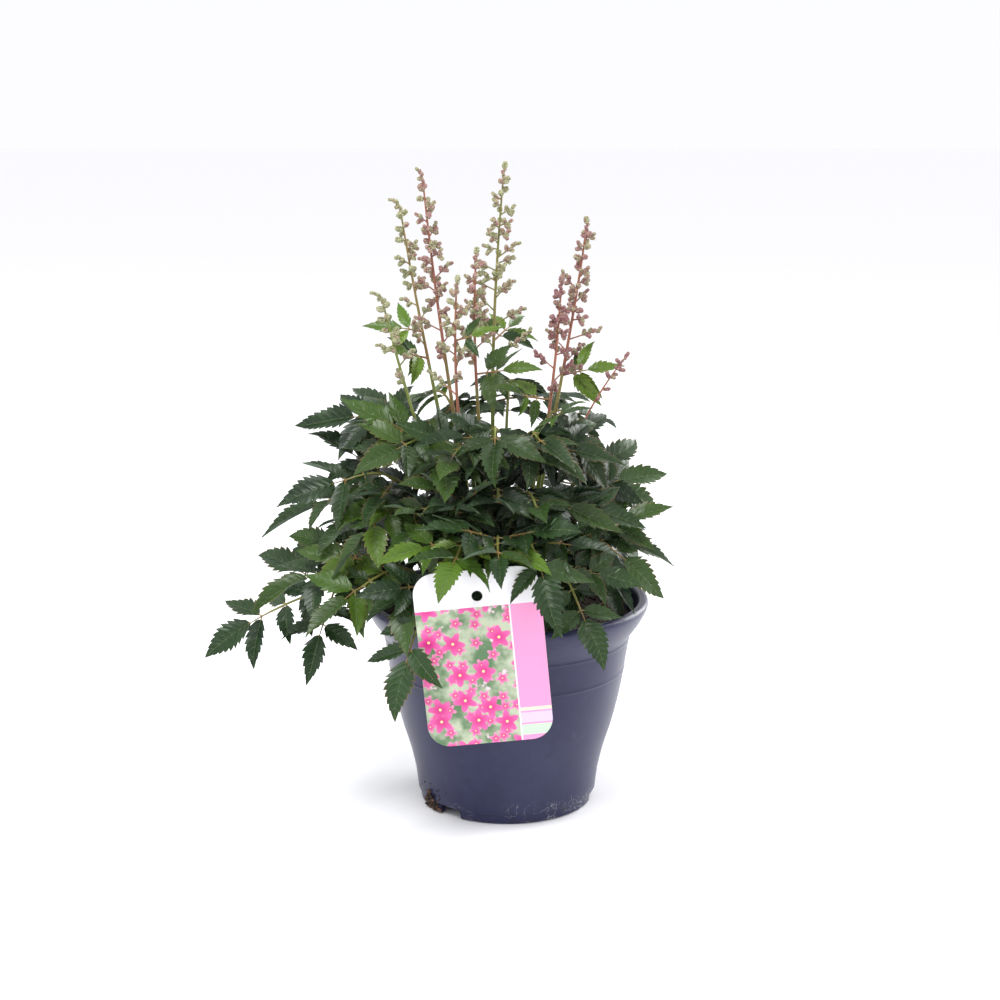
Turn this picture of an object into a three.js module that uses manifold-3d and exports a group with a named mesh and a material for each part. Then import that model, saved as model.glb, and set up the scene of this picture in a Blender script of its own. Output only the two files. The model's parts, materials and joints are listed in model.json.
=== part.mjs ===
// Astilbe in bud, growing in a round nursery pot. Millimetres, +Z up, the middle of the pot's base is the origin.
// The pot, its soil and the plant label are turned or extruded. Every leaf frond and every flower spray is one
// solid, grown by rule along a curve from the crown, and stands in a plain hole in the soil.
import * as THREE from 'three';
import { mergeVertices } from 'three/addons/utils/BufferGeometryUtils.js';
import Module from 'manifold-3d';

const wasm = await Module();
wasm.setup();

// ---- Driving dimensions ----
const POT_SIDES = 32; // facets round the pot
const POT_RIM_RADIUS = 95;
const POT_HEIGHT = 140;
const RIM_WIDEST_AT = 136.6;
const POT_FOOT_RADIUS = 58.5;
const POT_WALL = 2.2;
const FOOT_HEIGHT = 7; // the stepped band at the bottom edge
const CHANNEL_DEPTH = 7; // drainage channel under the floor's edge
const NOTCH_WIDTH = 17; // drainage notches through the foot
const NOTCH_AZIMUTHS = [230, 350, 110];
const SEAT_GAP = 0.3; // left between pieces that touch
const SOIL_TOP = 127; // height of the soil's surface at the wall
const SOIL_CROWN_RISE = 5; // the soil stands higher at the crown
const ROOT_DEPTH = 9; // how far a stem stands in its hole
const HOLE_CLEARANCE = 0.5; // between a stem and its hole, all round
const HOLE_SIDES = 4;
const SOIL_SIDES = 16; // every second corner of the pot
const LABEL_WIDTH = 79;
const LABEL_HEIGHT = 115;
const LABEL_THICKNESS = 0.8;
const LABEL_CORNER = 14;
const LABEL_HOLE_RADIUS = 3.4;
const LABEL_TURN = 5.5; // degrees, the top leans left
const LABEL_LEAN = 3; // degrees, the bottom leans in under the rim
const LABEL_X = -15;
const LABEL_CENTRE_Z = 126;
const CROWN_X = -6; // middle of the crown in the soil
const STALK_SIDES = 3;
const STALK_STEPS = 5;
const STALK_RADIUS = 1.4;
const TWIG_RADIUS = 0.7;
const LEAFLET_LENGTH = 40; // end leaflet of a frond of size 1
const LEAFLET_ASPECT = 0.24; // half width over length
const RIB_THICKNESS = 1.4; // a blade's thickness along its rib, thinning to its edge
const FACING_FRONT = 0.6; // leaves that grow to the sides roll their faces to the front by up to this, radians
const LEAF_GAP = 0.5; // least space between two fronds
const SPRAY_SIDES = 3;
const SPRAY_STEPS = 8;
const SPRAY_RADIUS = 1.5;
const BUD_RADIUS = 2.7;
const BUD_SPACING = 6.4; // between the buds along a side branch
const BRANCH_SPACING = 7.2; // between the side branches along a spray's head
const BEADED_SHARE = 0.65; // the outer part of a side branch, which carries the buds
const PEDICEL_RADIUS = 0.8;

const degrees = (angle) => angle * Math.PI / 180;
const vector = (x, y, z) => new THREE.Vector3(x, y, z);

// Seeded draws in 0..1, the same on every run.
function draws(seed) {
  let state = seed >>> 0;
  return () => {
    state = (state + 0x6D2B79F5) >>> 0;
    let mixed = Math.imul(state ^ (state >>> 15), 1 | state);
    mixed = (mixed + Math.imul(mixed ^ (mixed >>> 7), 61 | mixed)) ^ mixed;
    return ((mixed ^ (mixed >>> 14)) >>> 0) / 4294967296;
  };
}

// ---- Between geometries and solids ----
function solidOf(geometry) {
  const bare = geometry.clone();
  for (const name of Object.keys(bare.attributes)) {
    if (name !== 'position') bare.deleteAttribute(name);
  }
  const merged = mergeVertices(bare, 1e-4);
  return new wasm.Manifold(new wasm.Mesh({
    numProp: 3,
    vertProperties: new Float32Array(merged.attributes.position.array),
    triVerts: new Uint32Array(merged.index.array),
  }));
}

function geometryOf(solid) {
  const mesh = solid.getMesh();
  const geometry = new THREE.BufferGeometry();
  geometry.setAttribute('position', new THREE.BufferAttribute(mesh.vertProperties, 3));
  geometry.setIndex(new THREE.BufferAttribute(mesh.triVerts, 1));
  geometry.computeVertexNormals();
  return geometry;
}

function fuse(solids) {
  return solids.reduce((whole, next) => whole.add(next));
}

// ---- Pot, soil and label ----
// A LatheGeometry turns about Y, so it is stood up to turn about Z.
function turned(profile, sides) {
  const points = profile.map(([radius, height]) => new THREE.Vector2(radius, height));
  return new THREE.LatheGeometry(points, sides).rotateX(Math.PI / 2);
}

// Outer wall from the foot up: stepped foot, steep lower wall, bulged upper wall, flared rim band.
const OUTER_WALL = [
  [POT_FOOT_RADIUS, 0], [POT_FOOT_RADIUS + 0.9, FOOT_HEIGHT - 0.8], [POT_FOOT_RADIUS + 2, FOOT_HEIGHT],
  [62.3, 22], [65.5, 36], [70.5, 52], [75.6, 72], [79.6, 94], [82.6, 114], [84.4, 119.5], [90.6, 129],
  [POT_RIM_RADIUS, RIM_WIDEST_AT], [POT_RIM_RADIUS - 1.4, POT_HEIGHT],
];
// Inner wall from the rim down to the floor.
const INNER_WALL = [
  [POT_RIM_RADIUS - 3.8, POT_HEIGHT - 0.6], [88, 129.8], [81.8, 120.6], [68.2, 52], [63.2, 36],
  [57.8, CHANNEL_DEPTH + POT_WALL],
];

// The floor steps up over the drainage channel that runs round its edge.
const FLOOR_TOP = [[43.6, CHANNEL_DEPTH + POT_WALL], [42.6, POT_WALL], [0, POT_WALL]];
const FLOOR_UNDERSIDE = [[0, 0], [45, 0], [46, CHANNEL_DEPTH], [55, CHANNEL_DEPTH], [55.4, 0]];

function makePot() {
  const profile = [...OUTER_WALL, ...INNER_WALL, ...FLOOR_TOP, ...FLOOR_UNDERSIDE, OUTER_WALL[0]];
  let pot = solidOf(turned(profile, POT_SIDES));
  for (const azimuth of NOTCH_AZIMUTHS) {
    const notch = new THREE.BoxGeometry(14, NOTCH_WIDTH, 2 * (CHANNEL_DEPTH - 0.6));
    notch.translate(POT_FOOT_RADIUS, 0, 0).rotateZ(degrees(azimuth));
    pot = pot.subtract(solidOf(notch));
  }
  return pot;
}

function soilHeight(x, y) {
  const outward = Math.hypot(x - CROWN_X, y) / 80;
  return SOIL_TOP + SOIL_CROWN_RISE * Math.max(0, 1 - outward * outward);
}

// The soil fills the pot a seat gap inside its wall, with a lumpy top.
function makeSoil() {
  const bottom = [...FLOOR_TOP].reverse();
  const wall = INNER_WALL.filter(([, height]) => height < SOIL_TOP - 3).reverse();
  const side = [...bottom, ...wall].map(([radius, height]) => [
    Math.max(0, radius - SEAT_GAP - 0.25), height + (height < FLOOR_TOP[0][1] + 1 ? SEAT_GAP : 0),
  ]);
  const top = [[83.6, SOIL_TOP - 1.6], [70, SOIL_TOP], [44, SOIL_TOP], [0, SOIL_TOP]];
  const geometry = turned([...side, ...top], SOIL_SIDES);
  const places = geometry.attributes.position;
  const draw = draws(11);
  const lumps = new Map();
  for (let i = 0; i < places.count; i += 1) {
    const [x, y, z] = [places.getX(i), places.getY(i), places.getZ(i)];
    if (z < SOIL_TOP - 1) continue;
    const key = `${Math.round(x * 10)},${Math.round(y * 10)}`;
    if (!lumps.has(key)) lumps.set(key, 3 * (draw() - 0.5));
    const flat = Math.hypot(x, y) > 79 ? 0.3 : 1;
    places.setZ(i, soilHeight(x, y) + flat * lumps.get(key));
  }
  return solidOf(geometry);
}

// A plain hole for each stem, along its first straight piece.
function stemHoles(stems) {
  return fuse(stems.map(({ path, radius, steps }) => {
    const foot = path.getPoint(0);
    const rise = path.getPoint(1 / steps).sub(foot).normalize();
    const corner = (radius + HOLE_CLEARANCE) / Math.cos(Math.PI / HOLE_SIDES);
    const hole = new THREE.CylinderGeometry(corner, corner, 40, HOLE_SIDES);
    hole.rotateX(Math.PI / 2).translate(0, 0, 20 - 2 * SEAT_GAP);
    const lean = new THREE.Quaternion().setFromUnitVectors(vector(0, 0, 1), rise);
    return solidOf(hole.applyQuaternion(lean).translate(foot.x, foot.y, foot.z));
  }));
}

function makeLabel() {
  const [right, top, corner] = [LABEL_WIDTH / 2, LABEL_HEIGHT / 2, LABEL_CORNER];
  const outline = new THREE.Shape();
  outline.moveTo(-right + corner, -top);
  outline.absarc(right - corner, -top + corner, corner, -Math.PI / 2, 0);
  outline.absarc(right - corner, top - corner, corner, 0, Math.PI / 2);
  outline.absarc(-right + corner, top - corner, corner, Math.PI / 2, Math.PI);
  outline.absarc(-right + corner, -top + corner, corner, Math.PI, 1.5 * Math.PI);
  const hole = new THREE.Path();
  hole.absarc(0, top - 17, LABEL_HOLE_RADIUS, 0, 2 * Math.PI, true);
  outline.holes.push(hole);
  const card = new THREE.ExtrudeGeometry(outline, { depth: LABEL_THICKNESS, bevelEnabled: false, curveSegments: 3 });
  return card.rotateZ(degrees(LABEL_TURN)).rotateX(Math.PI / 2);
}

// ---- Stems ----
// A cubic Bezier curve whose tube has its rings at even steps of the curve's own parameter.
class EvenCurve extends THREE.CubicBezierCurve3 {
  getUtoTmapping(u) {
    return u;
  }
}

// The point of a tube's middle line, which runs straight from ring to ring.
function onTube(path, along, steps) {
  const ring = Math.min(steps - 1, Math.floor(along * steps));
  return path.getPoint(ring / steps).lerp(path.getPoint((ring + 1) / steps), along * steps - ring);
}

// A closed tube of few sides along a curve.
function tube(path, radius, sides, steps) {
  const section = new THREE.Shape();
  for (let i = 0; i < sides; i += 1) {
    const angle = 2 * Math.PI * (i + 0.5) / sides;
    const point = [radius * Math.cos(angle), radius * Math.sin(angle)];
    if (i === 0) section.moveTo(...point);
    else section.lineTo(...point);
  }
  return new THREE.ExtrudeGeometry(section, { steps, extrudePath: path, bevelEnabled: false });
}

// ---- Leaflets ----
// Half width of a leaflet along its length, 0 at both ends and 1 at its widest.
const leafletWidth = (along) => (along ** 0.6) * ((1 - along) ** 1.05) / 0.339;
// The edge from base to tip: [place along, share of the half width], tooth tips and the notches behind them.
const LARGE_EDGE = [[0.24, 1], [0.27, 0.8], [0.47, 1.04], [0.5, 0.78], [0.7, 1.1]];
const SMALL_EDGE = [[0.3, 1], [0.34, 0.78], [0.6, 1.1]];
const LARGE_RIB = [0.36, 0.71]; // points along the rib
const SMALL_RIB = [0.46];
const LARGE_TURN = [0, 1, 1, 2, 2, 2]; // which rib point each piece of the edge is spread from, 0 being the hub
const SMALL_TURN = [0, 1, 1, 1];

// pose: base point, dir along the rib, up out of the upper face, length, bend and fold in radians.
// Gives the teeth of the right and left edge, the tip, and the rib's points in the upper and lower face.
function leafletPoints({ base, dir, up, length, bend, fold, large }) {
  const across = dir.clone().cross(up);
  const half = length * LEAFLET_ASPECT;
  const rib = (along) => base.clone()
    .addScaledVector(dir, length * Math.sin(bend * along) / bend)
    .addScaledVector(up, -length * (1 - Math.cos(bend * along)) / bend);
  const upAt = (along) => up.clone().multiplyScalar(Math.cos(bend * along))
    .addScaledVector(dir, Math.sin(bend * along));
  const edge = (side) => (large ? LARGE_EDGE : SMALL_EDGE).map(([along, share]) => {
    const out = half * share * leafletWidth(along);
    return rib(along).addScaledVector(across, side * out * Math.cos(fold))
      .addScaledVector(upAt(along), out * Math.sin(fold));
  });
  const ribLine = (face) => (large ? LARGE_RIB : SMALL_RIB).map((along) => rib(along)
    .addScaledVector(upAt(along), face * RIB_THICKNESS * (0.5 - 0.2 * along)));
  return { edges: [edge(1), edge(-1)], ribs: [ribLine(1), ribLine(-1)], tip: rib(1) };
}

// Three toothed leaflets on one twig, as one blade: an upper and a lower face share the toothed outline and part
// along the ribs. root is the twig's start, hub its end, leaves the middle, the right and the left leaflet.
function threeLeaflets(root, hub, frame, leaves) {
  const points = [];
  const mark = (point) => points.push(point) - 1;
  const across = frame.dir.clone().cross(frame.up);
  const twigSides = [1, -1].map((side) => mark(root.clone().addScaledVector(across, side * TWIG_RADIUS)));
  const twigFaces = [1, -1].map((face) => mark(root.clone().addScaledVector(frame.up, face * TWIG_RADIUS)));
  const hubs = [1, -1].map((face) => mark(hub.clone().addScaledVector(frame.up, face * TWIG_RADIUS)));
  const necks = [leaves[1], leaves[2]].map((leaf) => mark(hub.clone()
    .addScaledVector(leaf.dir, NECK_ASIDE).addScaledVector(frame.dir, -NECK_BACK)));
  const axils = [leaves[1], leaves[2]].map((leaf) => mark(hub.clone()
    .addScaledVector(leaf.dir, NECK_ASIDE).addScaledVector(frame.dir, AXIL_FORWARD)));
  const triangles = [];
  const put = (flip, i, j, k) => triangles.push(...(flip ? [i, k, j] : [i, j, k]));
  [0, 1].forEach((side) => [0, 1].forEach((face) => {
    const flip = side !== face;
    put(flip, twigSides[side], necks[side], hubs[face]);
    put(flip, twigSides[side], hubs[face], twigFaces[face]);
  }));
  put(false, twigSides[0], twigFaces[0], twigSides[1]);
  put(false, twigSides[0], twigSides[1], twigFaces[1]);
  // where the right and the left edge of each leaflet begin
  const starts = [[axils[0], axils[1]], [necks[0], axils[0]], [axils[1], necks[1]]];
  leaves.forEach((leaf, leafIndex) => {
    const { edges, ribs, tip } = leafletPoints(leaf);
    const tipMark = mark(tip);
    const ribMarks = ribs.map((line, face) => [hubs[face], ...line.map(mark)]);
    const spread = leaf.large ? LARGE_TURN : SMALL_TURN;
    edges.forEach((edge, side) => {
      const run = [starts[leafIndex][side], ...edge.map(mark), tipMark];
      ribMarks.forEach((rib, face) => spread.forEach((from, i) => {
        if (i > 0 && from !== spread[i - 1]) put(side !== face, run[i], rib[from], rib[spread[i - 1]]);
        put(side !== face, run[i], run[i + 1], rib[from]);
      }));
    });
  });
  const geometry = new THREE.BufferGeometry();
  geometry.setAttribute('position', new THREE.Float32BufferAttribute(points.flatMap((p) => p.toArray()), 3));
  geometry.setIndex(triangles);
  return solidOf(geometry);
}

// ---- Fronds ----
// [azimuth of the frond, crown radius, reach, arch height, end height, size], degrees and millimetres.
const FROND_ROWS = [
  // hanging round the rim
  [186, 40, 152, 164, 133, 1.1], [200, 42, 118, 186, 168, 1], [215, 46, 106, 184, 162, 1],
  [240, 46, 106, 196, 136, 1], [256, 48, 100, 212, 194, 0.95], [270, 48, 98, 212, 196, 0.9],
  [284, 48, 100, 210, 190, 0.95], [301, 46, 97, 202, 158, 0.88], [327, 44, 84, 200, 186, 1], [347, 42, 74, 196, 184, 1],
  [12, 42, 72, 190, 178, 1], [48, 44, 88, 190, 168, 1], [88, 46, 94, 192, 164, 1], [126, 44, 100, 190, 166, 1],
  [160, 42, 112, 186, 168, 1],
  // round the middle
  [176, 28, 106, 218, 206, 1.05], [194, 30, 96, 238, 226, 1], [212, 32, 88, 226, 204, 1],
  [230, 34, 76, 232, 208, 1.05], [250, 34, 72, 238, 214, 1], [270, 34, 70, 242, 220, 1.05],
  [290, 34, 70, 240, 216, 1], [313, 34, 74, 234, 212, 1], [336, 32, 72, 228, 216, 1], [0, 30, 66, 228, 220, 1],
  [41, 30, 74, 226, 212, 1], [84, 32, 76, 230, 214, 1], [132, 32, 84, 230, 214, 1],
  // over the top
  [180, 18, 80, 264, 262, 1.05], [206, 18, 66, 264, 252, 1], [240, 20, 54, 264, 246, 1.05],
  [268, 20, 50, 276, 260, 1], [300, 20, 50, 272, 256, 1.05], [334, 20, 50, 262, 252, 1], [20, 20, 48, 268, 262, 1],
  [80, 20, 54, 286, 278, 1], [136, 20, 60, 280, 272, 1],
];
const FROND_TURNS = [0, 4, -4, 8, -8, 12, -12]; // turned aside where a stem is in the way, degrees
const NODE_AT = 0.73; // where a frond's side branches leave it
const END_TWIG = 6; // the end group's twig beyond the stalk
const NECK_ASIDE = 2.4; // the side leaflets' stalks at the hub
const NECK_BACK = 0.7;
const AXIL_FORWARD = 1.5;
const MIDDLE_STEM = 8; // from the hub to the middle leaflet's blade
const SIDE_STEM = 2.5;
const LOW_SIDE_LIFT = 0.3; // a twig on a frond's lower side lifts by this share of the frond's roll
const SIDE_YAW = 1.05; // the side leaflets are turned from the middle one by this, radians

function frondPath([azimuth, crown, reach, arch, end], turn) {
  const angle = degrees(azimuth + turn);
  const at = (out, height) => vector(CROWN_X + out * Math.cos(angle), out * Math.sin(angle), height);
  const foot = at(crown, 0);
  const footHeight = soilHeight(foot.x, foot.y) - ROOT_DEPTH;
  return new EvenCurve(
    at(crown, footHeight),
    at(crown + 0.12 * reach, footHeight + 0.6 * (arch - footHeight)),
    at(Math.max(crown, 0.6 * reach), arch),
    at(reach, end),
  );
}

// Turns dir and up about their own axes: yaw turns to the left, pitch lifts, roll tips sideways.
function turnedFrame({ dir, up }, yaw, pitch, roll) {
  const across = dir.clone().cross(up).applyAxisAngle(up, yaw);
  const newDir = dir.clone().applyAxisAngle(up, yaw).applyAxisAngle(across, pitch);
  const newUp = up.clone().applyAxisAngle(across, pitch).applyAxisAngle(newDir, roll);
  return { dir: newDir, up: newUp };
}

function frameOn(path, along) {
  const dir = path.getTangent(along);
  const across = dir.clone().cross(vector(0, 0, 1)).normalize();
  return { dir, up: across.clone().cross(dir) };
}

// The middle, the right and the left leaflet of a group, each a little different.
function leafletThree(draw, size, share, large) {
  const own = (yaw, ownShare, ownLarge) => {
    const middle = yaw === 0;
    const [a, b, c, d] = [draw(), draw(), draw(), draw()];
    return {
      turn: [yaw + 0.24 * (a - 0.5), 0.5 * (b - 0.5), 0.6 * (c - 0.5)], large: ownLarge, bend: 0.15 + 0.5 * b,
      fold: 0.2 + 0.25 * c, length: LEAFLET_LENGTH * size * ownShare * (0.88 + 0.24 * d),
      stem: size * ownShare * (middle ? MIDDLE_STEM : SIDE_STEM),
    };
  };
  return [own(0, share, large), own(-SIDE_YAW, 0.8 * share, false), own(SIDE_YAW, 0.8 * share, false)];
}

// A frond before anything is moved out of its way: its stalk's path and three groups of three leaflets, one at its
// end and two on side twigs.
function frondPlan(row, index, turn) {
  const draw = draws(101 + index);
  const size = row[5];
  const path = frondPath(row, turn);
  const lean = 0.5 * (draw() - 0.5) + FACING_FRONT * Math.cos(degrees(row[0]));
  const three = (share, large) => leafletThree(draw, size, share, large);
  const end = onTube(path, 1, STALK_STEPS);
  const endFrame = turnedFrame(frameOn(path, 1), 0, 0, lean);
  const groups = [{ from: end, frame: endFrame, reach: END_TWIG * size, sink: 2, blades: three(1, true) }];
  for (const side of [1, -1]) {
    const lift = LOW_SIDE_LIFT * Math.max(0, -side * lean);
    groups.push({
      from: onTube(path, NODE_AT, STALK_STEPS), reach: size * (20 + 8 * draw()), sink: 0.3,
      frame: turnedFrame(endFrame, side, 0.15 + lift - 0.3 * draw(), 0), blades: three(0.9, false),
    });
  }
  return { path, groups };
}

// Ways to turn a twig or a leaflet out of another piece's way: [yaw, pitch, roll, share of its length].
const TRIES = [
  [0, 0, 0, 1], [0, -0.3, 0, 1], [0, 0.3, 0, 1], [0, 0, 0.5, 1], [0, 0, -0.5, 1], [0.3, 0, 0, 1], [-0.3, 0, 0, 1],
  [0, -0.5, 0, 1], [0, 0.5, 0, 1], [0.3, -0.3, 0.3, 0.9], [-0.3, -0.3, -0.3, 0.9], [0.3, 0.3, -0.3, 0.9],
  [-0.3, 0.3, 0.3, 0.9], [0, 0, 0, 0.8], [0, -0.4, 0, 0.8], [0, 0.4, 0, 0.8], [0, 0.8, 0, 0.8], [0, -0.8, 0, 0.8],
  [0, 0, 0, 0.65], [0, 0.4, 0.4, 0.65], [0, -0.4, -0.4, 0.65], [0.5, 0.3, 0.4, 0.75], [-0.5, 0.3, -0.4, 0.75],
  [0.5, -0.4, 0, 0.65], [-0.5, -0.4, 0, 0.65], [0, 1.1, 0, 0.65], [0, 0.2, 1, 0.55], [0, 0.2, -1, 0.55],
];

// Solids already in place, each with its box, so that far ones are passed over.
const placed = [];
function keep(owner, solid) {
  placed.push({ owner, solid, box: solid.boundingBox() });
}

function isClear(solid, owner) {
  const box = solid.boundingBox();
  for (const other of placed) {
    if (other.owner === owner) continue;
    const apart = [0, 1, 2].some((i) => box.min[i] > other.box.max[i] + LEAF_GAP
      || other.box.min[i] > box.max[i] + LEAF_GAP);
    if (!apart && solid.minGap(other.solid, LEAF_GAP) < LEAF_GAP) return false;
  }
  return true;
}

// The first of the tries at which what make gives stands clear, or null.
function placeClear(owner, make, tries) {
  for (const attempt of tries) {
    const made = make(attempt);
    if (isClear(made.solid, owner)) {
      keep(owner, made.solid);
      return made;
    }
  }
  return null;
}

// The stalk of a frond, turned aside until it stands clear of the stems before it.
function standStalk(row, index) {
  for (const turn of FROND_TURNS) {
    const plan = frondPlan(row, index, turn);
    const stalk = solidOf(tube(plan.path, STALK_RADIUS, STALK_SIDES, STALK_STEPS));
    if (isClear(stalk, index)) {
      keep(index, stalk);
      return { ...plan, stalk, index };
    }
  }
  return null;
}

// A group's twig and leaflets, all turned together about the twig's start by one of the tries.
function makeGroup({ from, frame, reach, sink, blades }, [yaw, pitch, roll, share]) {
  const whole = turnedFrame(frame, yaw, pitch, roll);
  const root = from.clone().addScaledVector(whole.dir, -sink);
  const hub = from.clone().addScaledVector(whole.dir, reach * share);
  const leaves = blades.map((blade) => {
    const own = turnedFrame(whole, ...blade.turn);
    const base = hub.clone().addScaledVector(own.dir, blade.stem * share);
    return { ...blade, ...own, base, length: blade.length * share };
  });
  return { solid: threeLeaflets(root, hub, whole, leaves) };
}

function makeFrond({ stalk, groups, index }) {
  const made = groups.map((group) => placeClear(index, (attempt) => makeGroup(group, attempt), TRIES));
  return fuse([stalk, ...made.filter(Boolean).map(({ solid }) => solid)]);
}

// ---- Flower sprays in bud ----
// [foot x, foot y, waist x, waist y, waist z, tip x, tip y, tip z, head length, longest side branch], millimetres.
const SPRAY_ROWS = [
  [-20, 6, -52, 12, 285, -70, 14, 399, 82, 16], [-15, -4, -42, -4, 292, -54, -6, 417, 108, 21],
  [-6, 10, -14, 16, 292, -2, 20, 421, 108, 30], [-13, -14, -38, -24, 262, -32, -26, 352, 66, 19],
  [-5, -6, -25, -8, 280, -20, -8, 368, 74, 19], [-23, -7, -62, -22, 262, -80, -24, 343, 60, 14],
  [8, 7, 38, 10, 282, 52, 12, 386, 90, 24], [7, -9, 30, -18, 262, 34.5, -20, 351, 66, 18],
  [13, -2, 38, -4, 252, 76, -8, 301, 34, 2],
];
// Leaves on the flower stems: [spray, place along its stem, azimuth, rise, twig, size], degrees and millimetres.
const STEM_LEAF_ROWS = [
  [0, 0.74, 186, 12, 9, 0.6], [0, 0.68, 215, 15, 12, 0.6], [3, 0.86, 345, 15, 7, 0.55], [2, 0.68, 60, 20, 16, 0.7],
  [4, 0.7, 335, 10, 14, 0.68], [6, 0.66, 350, 15, 12, 0.68], [7, 0.7, 205, 35, 18, 0.65], [7, 0.64, 300, 25, 16, 0.6],
];
// Ways to turn a side branch out of another's way: [turn about the stem, share of its length].
const BRANCH_TRIES = [[0, 1], [0.5, 1], [-0.5, 1], [0, 0.75], [0.9, 0.8], [-0.9, 0.8], [0, 0.5], [0.5, 0.4], [-0.5, 0.4]];

function sprayPath([footX, footY, waistX, waistY, waistZ, tipX, tipY, tipZ]) {
  const foot = vector(footX, footY, soilHeight(footX, footY) - ROOT_DEPTH);
  const waist = vector(waistX, waistY, waistZ);
  const tip = vector(tipX, tipY, tipZ);
  return new EvenCurve(foot, foot.clone().lerp(waist, 0.5).setX(footX + 0.35 * (waistX - footX)), waist, tip);
}

// A side branch standing along +Z: a bare stalk, then a row of bud beads to its end.
function budBranch(length) {
  const beads = Math.max(1, Math.round((BEADED_SHARE * length) / BUD_SPACING));
  const bare = length - beads * BUD_SPACING;
  const profile = [[0, -0.8]];
  if (bare > 2) profile.push([PEDICEL_RADIUS, bare]);
  for (let i = 0; i < beads; i += 1) {
    profile.push([BUD_RADIUS * (1 - 0.08 * i), Math.max(bare, 0) + (i + 0.5) * BUD_SPACING]);
    if (i < beads - 1) profile.push([BUD_RADIUS * 0.6, Math.max(bare, 0) + (i + 0.95) * BUD_SPACING]);
  }
  profile.push([0, Math.max(bare, 0) + beads * BUD_SPACING]);
  return turned(profile, 3);
}

function standSpray(row, index) {
  const path = sprayPath(row);
  const stem = solidOf(tube(path, SPRAY_RADIUS, SPRAY_SIDES, SPRAY_STEPS));
  keep(numbered('spray', index), stem);
  return { path, stem, row, index };
}

// The side branches from the foot of the head to its tip: place, direction and length of each.
function branchPlans({ path, row, index }) {
  const draw = draws(501 + index);
  const [headLength, longest] = row.slice(8);
  const count = Math.round(headLength / BRANCH_SPACING);
  const headFrom = 1 - headLength / path.getLength();
  return Array.from({ length: count }, (_, i) => {
    const share = i / (count - 1);
    const along = headFrom + (1 - headFrom) * share;
    const azimuth = i * 2.4 + 0.6 * draw();
    const rise = 0.4 + 0.6 * draw() + (share > 0.97 ? 2 : 0);
    const length = 6.4 + longest * (1 - share) * (0.6 + 0.6 * draw());
    return { base: onTube(path, along, SPRAY_STEPS), frame: frameOn(path, along), azimuth, rise, length };
  });
}

function makeBranch({ base, frame, azimuth, rise, length }, [turn, share]) {
  const side = frame.dir.clone().cross(frame.up).applyAxisAngle(frame.dir, azimuth + turn);
  const dir = side.addScaledVector(frame.dir, rise).normalize();
  const lean = new THREE.Quaternion().setFromUnitVectors(vector(0, 0, 1), dir);
  return { solid: solidOf(budBranch(length * share).applyQuaternion(lean).translate(base.x, base.y, base.z)) };
}

// A stem leaf is one group of three leaflets on a twig that rises from the flower stem.
function stemLeafPlan({ path }, [, along, azimuth, rise, twig, size], rowIndex) {
  const draw = draws(301 + rowIndex);
  const dir = vector(0, 1, 0).applyAxisAngle(vector(1, 0, 0), degrees(rise))
    .applyAxisAngle(vector(0, 0, 1), degrees(azimuth - 90));
  const across = dir.clone().cross(vector(0, 0, 1)).normalize();
  const blades = leafletThree(draw, size, 1, false);
  const frame = turnedFrame({ dir, up: across.cross(dir) }, 0, 0, 1.6 * FACING_FRONT * Math.cos(degrees(azimuth)));
  return { from: onTube(path, along, SPRAY_STEPS), frame, reach: twig, sink: 0.3, blades };
}

function makeSpray(spray) {
  const owner = numbered('spray', spray.index);
  const branches = branchPlans(spray)
    .map((plan) => placeClear(owner, (attempt) => makeBranch(plan, attempt), BRANCH_TRIES));
  const leaves = STEM_LEAF_ROWS.map((row, rowIndex) => (row[0] === spray.index
    ? placeClear(owner, (attempt) => makeGroup(stemLeafPlan(spray, row, rowIndex), attempt), TRIES) : null));
  return fuse([spray.stem, ...[...branches, ...leaves].filter(Boolean).map(({ solid }) => solid)]);
}

// ---- Put together ----
const plant = new THREE.Group();
function add(name, geometry, color, roughness) {
  const mesh = new THREE.Mesh(geometry, new THREE.MeshStandardMaterial({ color, roughness, metalness: 0 }));
  mesh.name = name;
  plant.add(mesh);
  return mesh;
}
const numbered = (name, index) => `${name}_${String(index + 1).padStart(2, '0')}`;

const pot = makePot();
add('pot', geometryOf(pot), 0x47476a, 0.5);
keep('pot', pot);

const label = add('label', makeLabel(), 0xf4eef2, 0.35);
label.rotation.x = degrees(LABEL_LEAN);
const rimAboveCentre = RIM_WIDEST_AT - LABEL_CENTRE_Z;
label.position.set(
  LABEL_X, -POT_RIM_RADIUS - SEAT_GAP + rimAboveCentre * Math.tan(degrees(LABEL_LEAN)), LABEL_CENTRE_Z,
);
label.updateMatrixWorld();
keep('label', solidOf(label.geometry.clone().applyMatrix4(label.matrixWorld)));

const sprays = SPRAY_ROWS.map(standSpray);
sprays.forEach((spray) => add(numbered('spray', spray.index), geometryOf(makeSpray(spray)), 0x8c7a5c, 0.75));

const soil = makeSoil();
const stalks = FROND_ROWS.map(standStalk).filter(Boolean);
keep('soil', soil);
stalks.forEach((frond) => add(numbered('frond', frond.index), geometryOf(makeFrond(frond)), 0x2f4f34, 0.45));

const stems = [
  ...sprays.map(({ path }) => ({ path, radius: SPRAY_RADIUS, steps: SPRAY_STEPS })),
  ...stalks.map(({ path }) => ({ path, radius: STALK_RADIUS, steps: STALK_STEPS })),
];
add('soil', geometryOf(soil.subtract(stemHoles(stems))), 0x241c18, 0.95);

export default plant;
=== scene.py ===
"""A potted astilbe in bud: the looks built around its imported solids.

Growth is worked out in millimetres, with +Z up and the origin in the middle of the pot's base. Every mesh
is made in metres."""

import json
import math

import bpy
import numpy as np
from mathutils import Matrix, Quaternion, Vector, noise
from mathutils.bvhtree import BVHTree

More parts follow.
